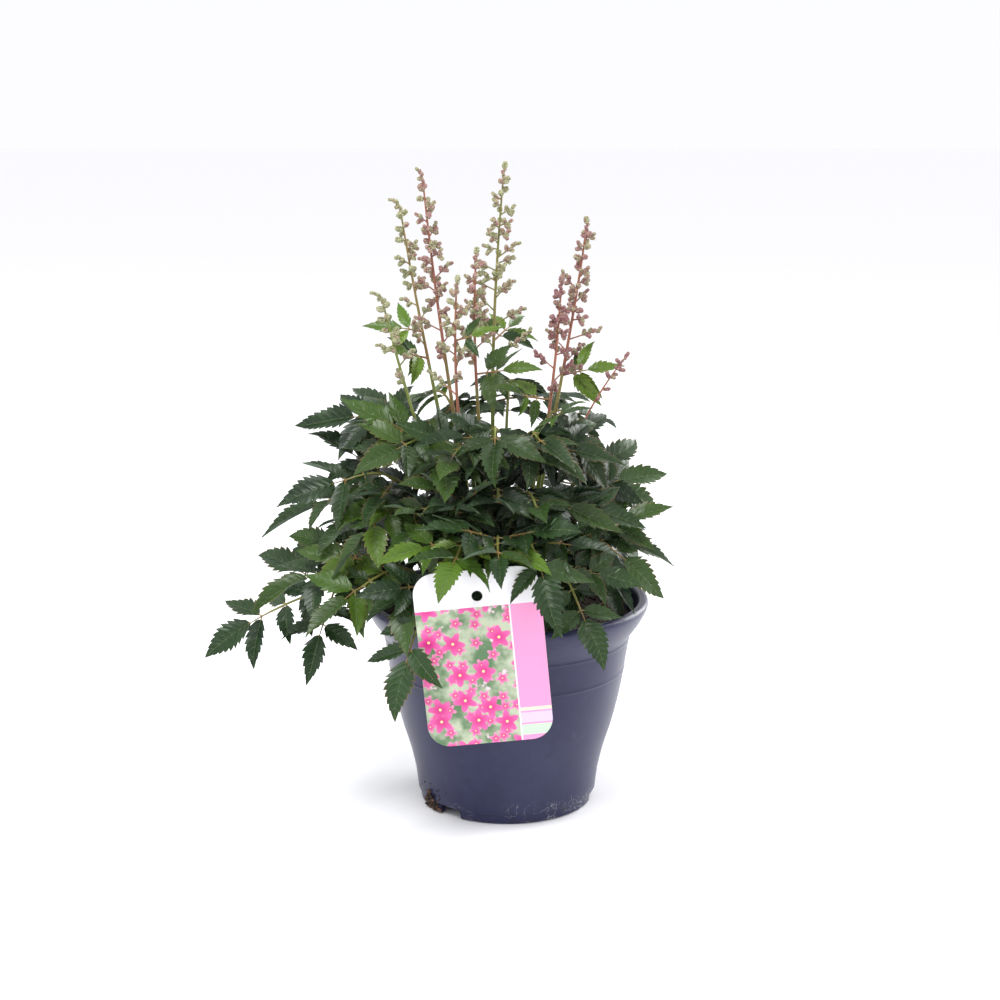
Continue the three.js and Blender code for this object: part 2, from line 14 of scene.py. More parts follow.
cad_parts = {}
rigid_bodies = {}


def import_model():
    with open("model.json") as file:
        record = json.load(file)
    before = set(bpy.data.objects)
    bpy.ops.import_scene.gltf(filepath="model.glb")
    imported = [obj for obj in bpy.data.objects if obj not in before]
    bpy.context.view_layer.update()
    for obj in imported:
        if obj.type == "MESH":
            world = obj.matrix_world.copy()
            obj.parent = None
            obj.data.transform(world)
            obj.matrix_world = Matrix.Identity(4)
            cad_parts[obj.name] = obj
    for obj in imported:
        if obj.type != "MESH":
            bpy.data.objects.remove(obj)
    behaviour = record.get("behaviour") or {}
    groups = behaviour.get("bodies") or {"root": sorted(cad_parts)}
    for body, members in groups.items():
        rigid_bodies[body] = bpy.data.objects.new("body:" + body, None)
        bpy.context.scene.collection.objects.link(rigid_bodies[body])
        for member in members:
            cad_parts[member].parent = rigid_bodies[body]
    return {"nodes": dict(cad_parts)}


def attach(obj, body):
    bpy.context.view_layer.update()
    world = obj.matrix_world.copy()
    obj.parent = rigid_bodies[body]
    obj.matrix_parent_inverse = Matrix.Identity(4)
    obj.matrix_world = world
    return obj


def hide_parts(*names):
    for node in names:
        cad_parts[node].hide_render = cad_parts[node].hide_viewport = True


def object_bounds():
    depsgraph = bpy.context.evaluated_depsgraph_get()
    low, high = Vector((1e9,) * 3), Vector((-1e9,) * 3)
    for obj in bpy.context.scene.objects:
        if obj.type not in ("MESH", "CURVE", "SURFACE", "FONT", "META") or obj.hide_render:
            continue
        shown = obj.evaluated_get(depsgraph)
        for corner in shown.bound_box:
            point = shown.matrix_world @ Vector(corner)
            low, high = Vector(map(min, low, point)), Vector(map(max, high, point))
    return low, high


for leftover in list(bpy.data.objects):
    bpy.data.objects.remove(leftover)
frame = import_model()
CAD_LOW, CAD_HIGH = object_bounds()
MM = 0.001

# ---- Sizes that the solids are built from ----
RIM_RADIUS = 95.0
POT_HEIGHT = 140.0
RIM_WIDEST_AT = 136.6
FOOT_RADIUS = 58.5
FOOT_HEIGHT = 7.0
CHANNEL_DEPTH = 7.0
POT_WALL = 2.2
NOTCH_WIDTH = 17.0
NOTCH_AZIMUTHS = (230, 350, 110)
SEAT_GAP = 0.3
SOIL_TOP = 127.0
SOIL_CROWN_RISE = 5.0
ROOT_DEPTH = 9.0
LABEL_WIDTH, LABEL_HEIGHT, LABEL_THICKNESS = 79.0, 115.0, 0.8
LABEL_CORNER = 14.0
LABEL_HOLE_RADIUS = 3.4
LABEL_HOLE_DROP = 17.0
LABEL_TURN, LABEL_LEAN = 5.5, 3.0
LABEL_X, LABEL_CENTRE_Z = -15.0, 126.0
CROWN_X = -6.0
MOUND_HEART = (CROWN_X, 0, 190)
STALK_STEPS = 5
LEAFLET_LENGTH = 40.0
LEAFLET_ASPECT = 0.24
FACING_FRONT = 0.6
LOW_SIDE_LIFT = 0.3
SPRAY_STEPS = 8
BUD_SPACING = 6.4
BRANCH_SPACING = 7.2
BEADED_SHARE = 0.65
TOP_SHARE = 0.97
NODE_AT = 0.73
END_TWIG = 6.0
MIDDLE_STEM, SIDE_STEM, SIDE_YAW = 8.0, 2.5, 1.05

# [azimuth, crown radius, reach, arch height, end height, size] of each frond, degrees and millimetres
FROND_ROWS = [
    # hanging round the rim
    (186, 40, 152, 164, 133, 1.1), (200, 42, 118, 186, 168, 1), (215, 46, 106, 184, 162, 1),
    (240, 46, 106, 196, 136, 1), (256, 48, 100, 212, 194, 0.95), (270, 48, 98, 212, 196, 0.9),
    (284, 48, 100, 210, 190, 0.95), (301, 46, 97, 202, 158, 0.88), (327, 44, 84, 200, 186, 1),
    (347, 42, 74, 196, 184, 1), (12, 42, 72, 190, 178, 1), (48, 44, 88, 190, 168, 1),
    (88, 46, 94, 192, 164, 1), (126, 44, 100, 190, 166, 1), (160, 42, 112, 186, 168, 1),
    # round the middle
    (176, 28, 106, 218, 206, 1.05), (194, 30, 96, 238, 226, 1), (212, 32, 88, 226, 204, 1),
    (230, 34, 76, 232, 208, 1.05), (250, 34, 72, 238, 214, 1), (270, 34, 70, 242, 220, 1.05),
    (290, 34, 70, 240, 216, 1), (313, 34, 74, 234, 212, 1), (336, 32, 72, 228, 216, 1),
    (0, 30, 66, 228, 220, 1), (41, 30, 74, 226, 212, 1), (84, 32, 76, 230, 214, 1),
    (132, 32, 84, 230, 214, 1),
    # over the top
    (180, 18, 80, 264, 262, 1.05), (206, 18, 66, 264, 252, 1), (240, 20, 54, 264, 246, 1.05),
    (268, 20, 50, 276, 260, 1), (300, 20, 50, 272, 256, 1.05), (334, 20, 50, 262, 252, 1),
    (20, 20, 48, 268, 262, 1), (80, 20, 54, 286, 278, 1), (136, 20, 60, 280, 272, 1),
]
FROND_TURNS = (0, 4, -4, 8, -8, 12, -12)
# how young, and so how bright, some of the fronds are; all others are nearly grown
YOUNG_FRONDS = {
    1: 0.0, 3: 0.35, 4: 0.0, 5: 0.55, 8: 0.1, 16: 0.1, 18: 0.5, 19: 0.25, 22: 0.15, 30: 0.3, 31: 0.35,
    37: 0.5,
}
# [yaw, pitch, roll, share of its length] by which a group of leaflets stands clear of the others
TRIES = [
    (0, 0, 0, 1), (0, -0.3, 0, 1), (0, 0.3, 0, 1), (0, 0, 0.5, 1), (0, 0, -0.5, 1), (0.3, 0, 0, 1),
    (-0.3, 0, 0, 1), (0, -0.5, 0, 1), (0, 0.5, 0, 1), (0.3, -0.3, 0.3, 0.9), (-0.3, -0.3, -0.3, 0.9),
    (0.3, 0.3, -0.3, 0.9), (-0.3, 0.3, 0.3, 0.9), (0, 0, 0, 0.8), (0, -0.4, 0, 0.8), (0, 0.4, 0, 0.8),
    (0, 0.8, 0, 0.8), (0, -0.8, 0, 0.8), (0, 0, 0, 0.65), (0, 0.4, 0.4, 0.65), (0, -0.4, -0.4, 0.65),
    (0.5, 0.3, 0.4, 0.75), (-0.5, 0.3, -0.4, 0.75), (0.5, -0.4, 0, 0.65), (-0.5, -0.4, 0, 0.65),
    (0, 1.1, 0, 0.65), (0, 0.2, 1, 0.55), (0, 0.2, -1, 0.55),
]
# [foot x, y, waist x, y, z, tip x, y, z, head length, longest side branch] of each flower spray
SPRAY_ROWS = [
    (-20, 6, -52, 12, 285, -70, 14, 399, 82, 16), (-15, -4, -42, -4, 292, -54, -6, 417, 108, 21),
    (-6, 10, -14, 16, 292, -2, 20, 421, 108, 30), (-13, -14, -38, -24, 262, -32, -26, 352, 66, 19),
    (-5, -6, -25, -8, 280, -20, -8, 368, 74, 19), (-23, -7, -62, -22, 262, -80, -24, 343, 60, 14),
    (8, 7, 38, 10, 282, 52, 12, 386, 90, 24), (7, -9, 30, -18, 262, 34.5, -20, 351, 66, 18),
    (13, -2, 38, -4, 252, 76, -8, 301, 34, 2),
]
# how red the stem is, how mauve the buds are and how dark they are, for each spray
SPRAY_TINTS = [
    (0.5, 0.2, 0.0), (0.95, 0.6, 0.15), (0.4, 0.3, 0.0), (1.0, 0.3, 0.0), (0.85, 0.35, 0.0),
    (0.05, 0.05, 0.0), (0.8, 0.6, 0.25), (0.95, 0.9, 0.7), (0.8, 0.8, 0.5),
]
# how far the top of some sprays leans over to the left
TOP_LEANS = {0: 0.8, 1: 0.35, 5: 0.8}
# [spray, place along its stem, azimuth, rise, twig, size] of each leaf on a flower stem
STEM_LEAF_ROWS = [
    (0, 0.74, 186, 12, 9, 0.6), (0, 0.68, 215, 15, 12, 0.6), (3, 0.86, 345, 15, 7, 0.55),
    (2, 0.68, 60, 20, 16, 0.7), (4, 0.7, 335, 10, 14, 0.68), (6, 0.66, 350, 15, 12, 0.68),
    (7, 0.7, 205, 35, 18, 0.65), (7, 0.64, 300, 25, 16, 0.6),
]
# [turn about the stem, share of its length] by which a side branch stands clear
BRANCH_TRIES = [
    (0, 1), (0.5, 1), (-0.5, 1), (0, 0.75), (0.9, 0.8), (-0.9, 0.8), (0, 0.5), (0.5, 0.4), (-0.5, 0.4),
]
UP = Vector((0, 0, 1))


def draws(seed):
    """Seeded draws in 0..1, the same that the solids were grown with."""
    state = [seed]

    def draw():
        state[0] = (state[0] + 0x6D2B79F5) & 0xFFFFFFFF
        mixed = ((state[0] ^ (state[0] >> 15)) * (1 | state[0])) & 0xFFFFFFFF
        mixed = ((mixed + (mixed ^ (mixed >> 7)) * (61 | mixed)) ^ mixed) & 0xFFFFFFFF
        return (mixed ^ (mixed >> 14)) / 4294967296

    return draw


# ---- Camera, floor and light ----
CAMERA_PLACE = (-4.65, -1200, 470)
CAMERA_AIM = (-4.65, 0, 205.5)
PLANT_MIDDLE = (0, 0, 250)
FLOOR_DROP = 0.5


def set_camera():
    """Stands off in front and a little above, and looks at the middle of the plant."""
    camera = bpy.data.objects.new("camera", bpy.data.cameras.new("camera"))
    camera.location = Vector(CAMERA_PLACE) * MM
    aim = Vector(CAMERA_AIM) * MM - camera.location
    camera.rotation_euler = aim.to_track_quat("-Z", "Y").to_euler()
    camera.data.lens = 66.5
    camera.data.sensor_width = 36
    bpy.context.scene.collection.objects.link(camera)
    bpy.context.scene.camera = camera


def soft_light(name, place, size, power):
    """An area light turned to the plant, its place and size in metres."""
    light = bpy.data.lights.new(name, "AREA")
    light.size = size
    light.energy = power
    lamp = bpy.data.objects.new(name, light)
    lamp.location = place
    lamp.rotation_euler = (Vector(PLANT_MIDDLE) * MM - lamp.location).to_track_quat("-Z", "Y").to_euler()
    bpy.context.scene.collection.objects.link(lamp)


def set_studio():
    """An even pale room with a key light in front, a low one behind on the right, and a pale floor."""
    world = bpy.data.worlds.new("studio")
    world.use_nodes = True
    world.node_tree.nodes["Background"].inputs["Color"].default_value = (0.985, 0.985, 1.0, 1)
    bpy.context.scene.world = world
    bpy.context.scene.view_settings.view_transform = "Standard"
    soft_light("key", (-0.5, -0.9, 1.9), 0.7, 27)
    soft_light("side", (1.3, 1.0, 0.7), 1.2, 32)
    floor = start_primitive(bpy.ops.mesh.primitive_plane_add, size=30, location=(0, 0, -FLOOR_DROP * MM))
    floor.name = "floor"
    paint, _, shader = new_material("pale_floor")
    shader.inputs["Base Color"].default_value = (0.98, 0.98, 1.0, 1)
    shader.inputs["Roughness"].default_value = 0.9
    floor.data.materials.append(paint)


# ---- Materials ----
class Nodes:
    """Writes a node tree: each call adds a node, sets its values and links what is given as a socket."""

    def __init__(self, tree):
        self.tree = tree

    def add(self, kind, settings=None, **inputs):
        node = self.tree.nodes.new("ShaderNode" + kind)
        for key, value in (settings or {}).items():
            setattr(node, key, value)
        for key, value in inputs.items():
            self.put(node.inputs[key.replace("_", " ")], value)
        return node

    def put(self, socket, value):
        if isinstance(value, bpy.types.NodeSocket):
            self.tree.links.new(value, socket)
        elif socket.type == "RGBA" and len(value) == 3:
            socket.default_value = (*value, 1)
        else:
            socket.default_value = value

    def math(self, operation, first, second=0.0, third=0.0, clamp=False):
        node = self.add("Math", {"operation": operation, "use_clamp": clamp})
        for socket, value in zip(node.inputs, (first, second, third)):
            self.put(socket, value)
        return node.outputs[0]

    def times(self, first, second):
        return self.math("MULTIPLY", first, second)

    def plus(self, first, second, clamp=False):
        return self.math("ADD", first, second, clamp=clamp)

    def minus(self, first, second):
        return self.math("SUBTRACT", first, second)

    def scaled(self, value, by, plus):
        return self.math("MULTIPLY_ADD", value, by, plus)

    def span(self, value):
        """How far the value is from nothing."""
        return self.math("ABSOLUTE", value)

    def mix(self, share, first, second):
        node = self.add("Mix", {"data_type": "RGBA"})
        self.put(node.inputs[0], share)
        self.put(node.inputs[6], first)
        self.put(node.inputs[7], second)
        return node.outputs[2]

    def between(self, value, low, high):
        """0 at low, 1 at high, smooth between."""
        node = self.add("MapRange", {"interpolation_type": "SMOOTHSTEP"})
        for name, given in (("Value", value), ("From Min", low), ("From Max", high)):
            self.put(node.inputs[name], given)
        return node.outputs[0]

    def noise(self, place, scale, detail=3.0, rough=0.55):
        node = self.add("TexNoise", None, Vector=place, Scale=scale, Detail=detail, Roughness=rough)
        return node.outputs[0]

    def place(self):
        return self.add("TexCoord").outputs["Object"]

    def chart(self, name):
        """A UV map of the piece."""
        return self.add("UVMap", {"uv_map": name}).outputs[0]

    def split(self, vector):
        return self.add("SeparateXYZ", None, Vector=vector).outputs

    def stretched(self, place, scale):
        return self.add("Mapping", None, Vector=place, Scale=scale).outputs[0]

    def vector_math(self, operation, first, second):
        node = self.add("VectorMath", {"operation": operation})
        self.put(node.inputs[0], first)
        self.put(node.inputs[1], second)
        return node.outputs["Value" if operation == "DISTANCE" else "Vector"]


def new_material(name):
    """The material, a writer for its nodes, and its shader."""
    material = bpy.data.materials.new(name)
    material.use_nodes = True
    nodes = Nodes(material.node_tree)
    return material, nodes, material.node_tree.nodes["Principled BSDF"]


def finish(nodes, shader, colour, roughness, height, strength, depth):
    """What a material ends in: its colour, its roughness, and a bump of so many metres' depth."""
    nodes.put(shader.inputs["Base Color"], colour)
    nodes.put(shader.inputs["Roughness"], roughness)
    relief = nodes.add("Bump", None, Strength=strength, Distance=depth, Height=height)
    nodes.put(shader.inputs["Normal"], relief.outputs[0])


def make_mottle_group():
    """Two sizes of soft mottling, as one value round 0.5, that keeps a surface from looking flat."""
    group = bpy.data.node_groups.new("mottle", "ShaderNodeTree")
    group.interface.new_socket("Vector", in_out="INPUT", socket_type="NodeSocketVector")
    group.interface.new_socket("Scale", in_out="INPUT", socket_type="NodeSocketFloat")
    group.interface.new_socket("Fac", in_out="OUTPUT", socket_type="NodeSocketFloat")
    nodes = Nodes(group)
    entry = group.nodes.new("NodeGroupInput")
    coarse = nodes.noise(entry.outputs[0], entry.outputs[1])
    fine = nodes.noise(entry.outputs[0], nodes.times(entry.outputs[1], 7.0), 2.0)
    both = nodes.plus(nodes.times(coarse, 0.65), nodes.times(fine, 0.35))
    leave = group.nodes.new("NodeGroupOutput")
    group.links.new(both, leave.inputs[0])
    return group


MOTTLE = make_mottle_group()


def mottle(nodes, place, scale):
    """The mottling at that scale, placed in a material."""
    node = nodes.tree.nodes.new("ShaderNodeGroup")
    node.node_tree = MOTTLE
    nodes.put(node.inputs["Vector"], place)
    nodes.put(node.inputs["Scale"], scale)
    return node.outputs[0]


def tone_of(nodes):
    """The three tones painted on grown meshes: red, green and blue of the tone attribute."""
    tone = nodes.add("Attribute", {"attribute_name": "tone"})
    return nodes.add("SeparateColor", None, Color=tone.outputs["Color"]).outputs


def make_leaf_material():
    """Tones: youth, chance and underside. The blade chart runs from 0 to 1 along a leaflet and sideways in
    its lengths, and the margin chart from 0 at the rib to 1 at the edge."""
    material, nodes, shader = new_material("astilbe_leaf")
    youth, chance, under = tone_of(nodes)
    along, aside, _ = nodes.split(nodes.chart("blade"))
    off_rib = nodes.span(aside)
    # side veins run forward from the rib, a fixed distance apart
    vein_place = nodes.times(nodes.minus(along, nodes.times(off_rib, 0.8)), 9.0)
    vein_gap = nodes.span(nodes.minus(nodes.math("FRACT", vein_place), 0.5))
    side_vein = nodes.times(nodes.between(vein_gap, 0.42, 0.5), nodes.between(off_rib, 0.19, 0.05))
    rib = nodes.between(off_rib, 0.012, 0.004)
    veins = nodes.math("MAXIMUM", rib, nodes.times(side_vein, 0.6))
    place = nodes.place()
    spots = mottle(nodes, place, 55.0)
    deep = nodes.mix(chance, (0.004, 0.014, 0.007), (0.017, 0.044, 0.011))
    base = nodes.mix(nodes.between(spots, 0.3, 0.75), deep, nodes.mix(0.45, deep, (0.036, 0.085, 0.020)))
    top = nodes.mix(youth, base, nodes.mix(chance, (0.075, 0.17, 0.010), (0.17, 0.28, 0.022)))
    # painted shade: leaves deep inside the mound are darkened to nearly black, where shade falls among the
    # foliage
    inward = nodes.vector_math("DISTANCE", place, Vector(MOUND_HEART) * MM)
    inner_painted_shade = nodes.between(inward, 0.112, 0.055)
    top = nodes.mix(nodes.times(inner_painted_shade, 0.85), top, (0.002, 0.007, 0.004))
    top = nodes.mix(nodes.times(veins, 0.28), top, (0.14, 0.21, 0.07))
    margin = nodes.split(nodes.chart("margin"))[0]
    rust = nodes.times(nodes.between(margin, 0.86, 1.0), nodes.between(chance, 0.3, 0.8))
    top = nodes.mix(nodes.times(rust, 0.55), top, (0.20, 0.11, 0.06))
    pale = nodes.mix(youth, (0.10, 0.15, 0.095), (0.17, 0.26, 0.08))
    below = nodes.mix(nodes.times(veins, 0.5), pale, (0.22, 0.28, 0.16))
    shader.inputs["Specular IOR Level"].default_value = 0.32
    roughness = nodes.scaled(under, 0.25, nodes.scaled(spots, 0.24, 0.24))
    height = nodes.plus(nodes.times(veins, -1.0), nodes.times(spots, 0.5))
    finish(nodes, shader, nodes.mix(under, top, below), roughness, height, 0.55, 0.0006)
    return material


def make_stalk_material():
    """Tones: redness, chance and age."""
    material, nodes, shader = new_material("astilbe_stalk")
    redness, chance, age = tone_of(nodes)
    spots = mottle(nodes, nodes.place(), 160.0)
    green = nodes.mix(chance, (0.12, 0.17, 0.03), (0.22, 0.26, 0.05))
    red = nodes.mix(chance, (0.24, 0.085, 0.045), (0.33, 0.12, 0.07))
    share = nodes.plus(redness, nodes.scaled(spots, 0.6, -0.3), clamp=True)
    fresh = nodes.mix(nodes.between(share, 0.2, 0.8), green, red)
    colour = nodes.mix(nodes.times(age, 0.6), fresh, (0.09, 0.05, 0.03))
    finish(nodes, shader, colour, nodes.scaled(spots, 0.3, 0.35), spots, 0.4, 0.0004)
    return material


def make_bud_material():
    """Tones: mauveness, chance and darkness."""
    material, nodes, shader = new_material("astilbe_bud")
    mauve, chance, dark = tone_of(nodes)
    spots = mottle(nodes, nodes.place(), 420.0)
    green = nodes.mix(chance, (0.25, 0.265, 0.13), (0.42, 0.42, 0.255))
    pink = nodes.mix(chance, (0.29, 0.14, 0.13), (0.42, 0.25, 0.23))
    share = nodes.plus(mauve, nodes.times(nodes.minus(spots, chance), 0.5), clamp=True)
    light = nodes.mix(nodes.between(share, 0.15, 0.85), green, pink)
    colour = nodes.mix(nodes.times(dark, 0.6), light, (0.12, 0.015, 0.03))
    finish(nodes, shader, colour, nodes.scaled(spots, 0.3, 0.45), spots, 0.5, 0.0003)
    return material


def make_pot_material():
    """Moulded slate-blue plastic: fine grain, scuffs, lime and dirt round the foot."""
    material, nodes, shader = new_material("slate_pot_plastic")
    place = nodes.place()
    height = nodes.split(place)[2]
    grain = mottle(nodes, place, 900.0)
    clouds = mottle(nodes, place, 22.0)
    base = nodes.mix(nodes.between(clouds, 0.3, 0.7), (0.015, 0.016, 0.056), (0.022, 0.024, 0.070))
    scuffs = nodes.between(nodes.noise(nodes.stretched(place, (1.0, 1.0, 0.12)), 170.0, 6.0, 0.7), 0.62, 0.8)
    base = nodes.mix(nodes.times(scuffs, 0.25), base, (0.16, 0.16, 0.22))
    # lime squiggles: thin lines where a noise crosses its middle, only near the foot
    line = nodes.between(nodes.span(nodes.minus(nodes.noise(place, 130.0, 2.0, 0.4), 0.5)), 0.010, 0.003)
    near_foot = nodes.times(nodes.between(height, 0.017, 0.004), nodes.between(clouds, 0.42, 0.58))
    lime = nodes.times(line, near_foot)
    base = nodes.mix(nodes.times(lime, 0.75), base, (0.45, 0.45, 0.47))
    dirt_spots = nodes.between(nodes.noise(place, 260.0, 4.0, 0.6), 0.6, 0.68)
    dirt = nodes.times(dirt_spots, nodes.between(height, 0.012, 0.001))
    base = nodes.mix(nodes.times(dirt, 0.8), base, (0.03, 0.018, 0.01))
    shader.inputs["Specular IOR Level"].default_value = 0.34
    roughness = nodes.plus(nodes.scaled(grain, 0.14, 0.25), nodes.times(scuffs, 0.12))
    finish(nodes, shader, base, roughness, nodes.plus(grain, nodes.times(lime, 1.5)), 0.18, 0.0003)
    return material


def make_soil_material():
    """Nearly black peat with paler crumbs and a few brown fibres."""
    material, nodes, shader = new_material("dark_potting_soil")
    place = nodes.place()
    crumbs = nodes.noise(place, 330.0, 8.0, 0.7)
    fibres = nodes.noise(nodes.stretched(place, (1.0, 0.2, 1.0)), 700.0, 4.0)
    base = nodes.mix(nodes.between(crumbs, 0.35, 0.65), (0.012, 0.008, 0.006), (0.05, 0.032, 0.022))
    base = nodes.mix(nodes.between(fibres, 0.62, 0.72), base, (0.14, 0.08, 0.05))
    finish(nodes, shader, base, nodes.scaled(crumbs, 0.25, 0.75), crumbs, 1.0, 0.002)
    return material


def make_crumb_material():
    """Tones: woodiness, chance and paleness."""
    material, nodes, shader = new_material("bark_and_root_crumbs")
    wood, chance, pale = tone_of(nodes)
    grain = mottle(nodes, nodes.place(), 500.0)
    base = nodes.mix(wood, (0.02, 0.013, 0.009), nodes.mix(chance, (0.11, 0.05, 0.03), (0.24, 0.13, 0.09)))
    base = nodes.mix(pale, base, (0.5, 0.46, 0.42))
    colour = nodes.mix(nodes.between(grain, 0.4, 0.7), base, (0.02, 0.014, 0.01))
    finish(nodes, shader, colour, nodes.scaled(grain, 0.2, 0.75), grain, 0.8, 0.001)
    return material


# what is printed on the label, in shares of its width and height
PANEL_RIGHT, STRIP_LEFT, PRINT_TOP = 0.738, 0.75, 0.79
PRINT_BARS = [
    (0.03, 0.09, (0.55, 0.75, 0.55)), (0.10, 0.16, (0.72, 0.55, 0.85)), (0.17, 0.19, (0.95, 0.72, 0.55)),
]
PRINT_WHITE, STRIP_PINK = (0.84, 0.83, 0.86), (0.86, 0.31, 0.57)


def print_flowers(nodes, flat, under, scale, size, petal, shift):
    """Five-petalled flowers printed over what is under them, one in each cell of a jittered grid."""
    moved = nodes.add("Mapping", None, Vector=flat, Location=(shift, 0.37 * shift, 0)).outputs[0]
    cells = nodes.add("TexVoronoi", {"voronoi_dimensions": "2D"}, Vector=moved, Scale=scale, Randomness=0.75)
    right, high, _ = nodes.split(nodes.vector_math("SUBTRACT", moved, cells.outputs["Position"]))
    chance = nodes.add("SeparateColor", None, Color=cells.outputs["Color"]).outputs[0]
    angle = nodes.times(nodes.plus(nodes.math("ARCTAN2", high, right), chance), 5.0)
    edge = nodes.scaled(nodes.math("COSINE", angle), 0.22 * size, 0.78 * size)
    reach = cells.outputs["Distance"]
    shade = nodes.mix(nodes.between(reach, 0.0, size), (0.62, 0.02, 0.22), petal)
    inked = nodes.mix(nodes.between(nodes.minus(edge, reach), 0.0, 0.06), under, shade)
    return nodes.mix(nodes.between(reach, 0.13 * size, 0.08 * size), inked, (0.95, 0.75, 0.35))


def make_label_material():
    """A white card printed with a plain design: small five-petalled flowers on soft green, a pink side strip
    and three pastel bars. The card chart runs from 0 to 1 across and up the card's face."""
    material, nodes, shader = new_material("printed_label_card")
    card = nodes.chart("card")
    across, up, _ = nodes.split(card)
    flat = nodes.vector_math("MULTIPLY", card, (LABEL_WIDTH / 100, LABEL_HEIGHT / 100, 0))
    cloud = nodes.noise(flat, 6.0, 3.0)
    ground = nodes.mix(nodes.between(cloud, 0.35, 0.62), (0.09, 0.19, 0.08), (0.50, 0.56, 0.40))
    ground = nodes.mix(nodes.between(nodes.noise(flat, 14.0, 2.0), 0.6, 0.7), ground, (0.8, 0.62, 0.66))
    panel = print_flowers(nodes, flat, ground, 9.0, 0.42, (0.88, 0.30, 0.52), 3.1)
    panel = print_flowers(nodes, flat, panel, 5.2, 0.44, (0.82, 0.12, 0.40), 7.7)
    printed = nodes.math("LESS_THAN", up, PRINT_TOP)
    ink = nodes.mix(nodes.times(nodes.math("LESS_THAN", across, PANEL_RIGHT), printed), PRINT_WHITE, panel)
    in_strip = nodes.times(nodes.math("GREATER_THAN", across, STRIP_LEFT), printed)
    ink = nodes.mix(in_strip, ink, STRIP_PINK)
    for low, high, colour in PRINT_BARS:
        inside = nodes.times(nodes.math("GREATER_THAN", up, low), nodes.math("LESS_THAN", up, high))
        ink = nodes.mix(nodes.times(inside, in_strip), ink, colour)
    # the chart puts the edges and the back 2 further across
    off_face = nodes.math("GREATER_THAN", across, 1.5)
    wear = mottle(nodes, nodes.place(), 60.0)
    colour = nodes.mix(off_face, ink, nodes.mix(wear, (0.9, 0.9, 0.92), (0.8, 0.8, 0.83)))
    finish(nodes, shader, colour, nodes.scaled(wear, 0.2, 0.22), wear, 0.1, 0.0004)
    return material


LEAF = make_leaf_material()
STALK = make_stalk_material()
BUD = make_bud_material()
POT = make_pot_material()
SOIL = make_soil_material()
CRUMB = make_crumb_material()
CARD = make_label_material()


# ---- Modelling helpers ----
def start_primitive(add, **settings):
    """Adds a primitive with nothing else selected, and gives it back in object mode."""
    bpy.ops.object.select_all(action="DESELECT")
    add(**settings)
    return bpy.context.object


def use_modifier(piece, kind, **settings):
    """Adds a modifier and applies it."""
    modifier = piece.modifiers.new(kind.lower(), kind)
    for key, value in settings.items():
        setattr(modifier, key, value)
    bpy.context.view_layer.objects.active = piece
    bpy.ops.object.modifier_apply(modifier=modifier.name)


def settle(piece, name, materials):
    """Puts the piece's place into its mesh, names it and gives it its materials."""
    bpy.ops.object.select_all(action="DESELECT")
    piece.select_set(True)
    bpy.context.view_layer.objects.active = piece
    bpy.ops.object.transform_apply(location=True, rotation=True, scale=True)
    piece.name = name
    piece.data.name = name
    for material in materials:
        piece.data.materials.append(material)


def dress(piece, slot, *nodes):
    """The piece rides with the pot and stands for those solids, which it hides. The slot is not used."""
    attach(piece, "root")
    if nodes:
        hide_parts(*nodes)


def round_off(piece, degrees):
    """Shades it smooth wherever its faces meet at less than that angle."""
    bpy.ops.object.select_all(action="DESELECT")
    piece.select_set(True)
    bpy.context.view_layer.objects.active = piece
    bpy.ops.object.shade_smooth_by_angle(angle=math.radians(degrees))


def pull_rings(profile, sides):
    """A circle pulled from ring to ring along a profile of [radius, height] in millimetres, and closed at
    both ends. The profile begins low down, nearer the middle than any other ring as low."""
    radius, height = profile[0]
    piece = start_primitive(bpy.ops.mesh.primitive_circle_add, vertices=sides, radius=radius * MM,
                            location=(0, 0, height * MM))
    bpy.ops.object.mode_set(mode="EDIT")
    bpy.ops.mesh.select_all(action="SELECT")
    for next_radius, next_height in profile[1:]:
        climb = (next_height - height) * MM
        bpy.ops.mesh.extrude_region_move(TRANSFORM_OT_translate={"value": (0, 0, climb)})
        grow = next_radius / radius
        bpy.ops.transform.resize(value=(grow, grow, 1), center_override=(0, 0, 0))
        radius, height = next_radius, next_height
    # the last ring is still selected, and the first is found by its place
    bpy.ops.mesh.edge_face_add()
    bpy.ops.mesh.select_all(action="DESELECT")
    bpy.ops.object.mode_set(mode="OBJECT")
    lowest = min(vertex.co.z for vertex in piece.data.vertices)
    for vertex in piece.data.vertices:
        vertex.select = vertex.co.z < lowest + 1e-6 and vertex.co.xy.length < 1.01 * profile[0][0] * MM
    bpy.ops.object.mode_set(mode="EDIT")
    bpy.ops.mesh.edge_face_add()
    bpy.ops.mesh.select_all(action="SELECT")
    bpy.ops.mesh.normals_make_consistent(inside=False)
    bpy.ops.object.mode_set(mode="OBJECT")
    # a raised first ring leaves the piece's place outside its mesh
    bpy.ops.object.transform_apply(location=True)
    return piece


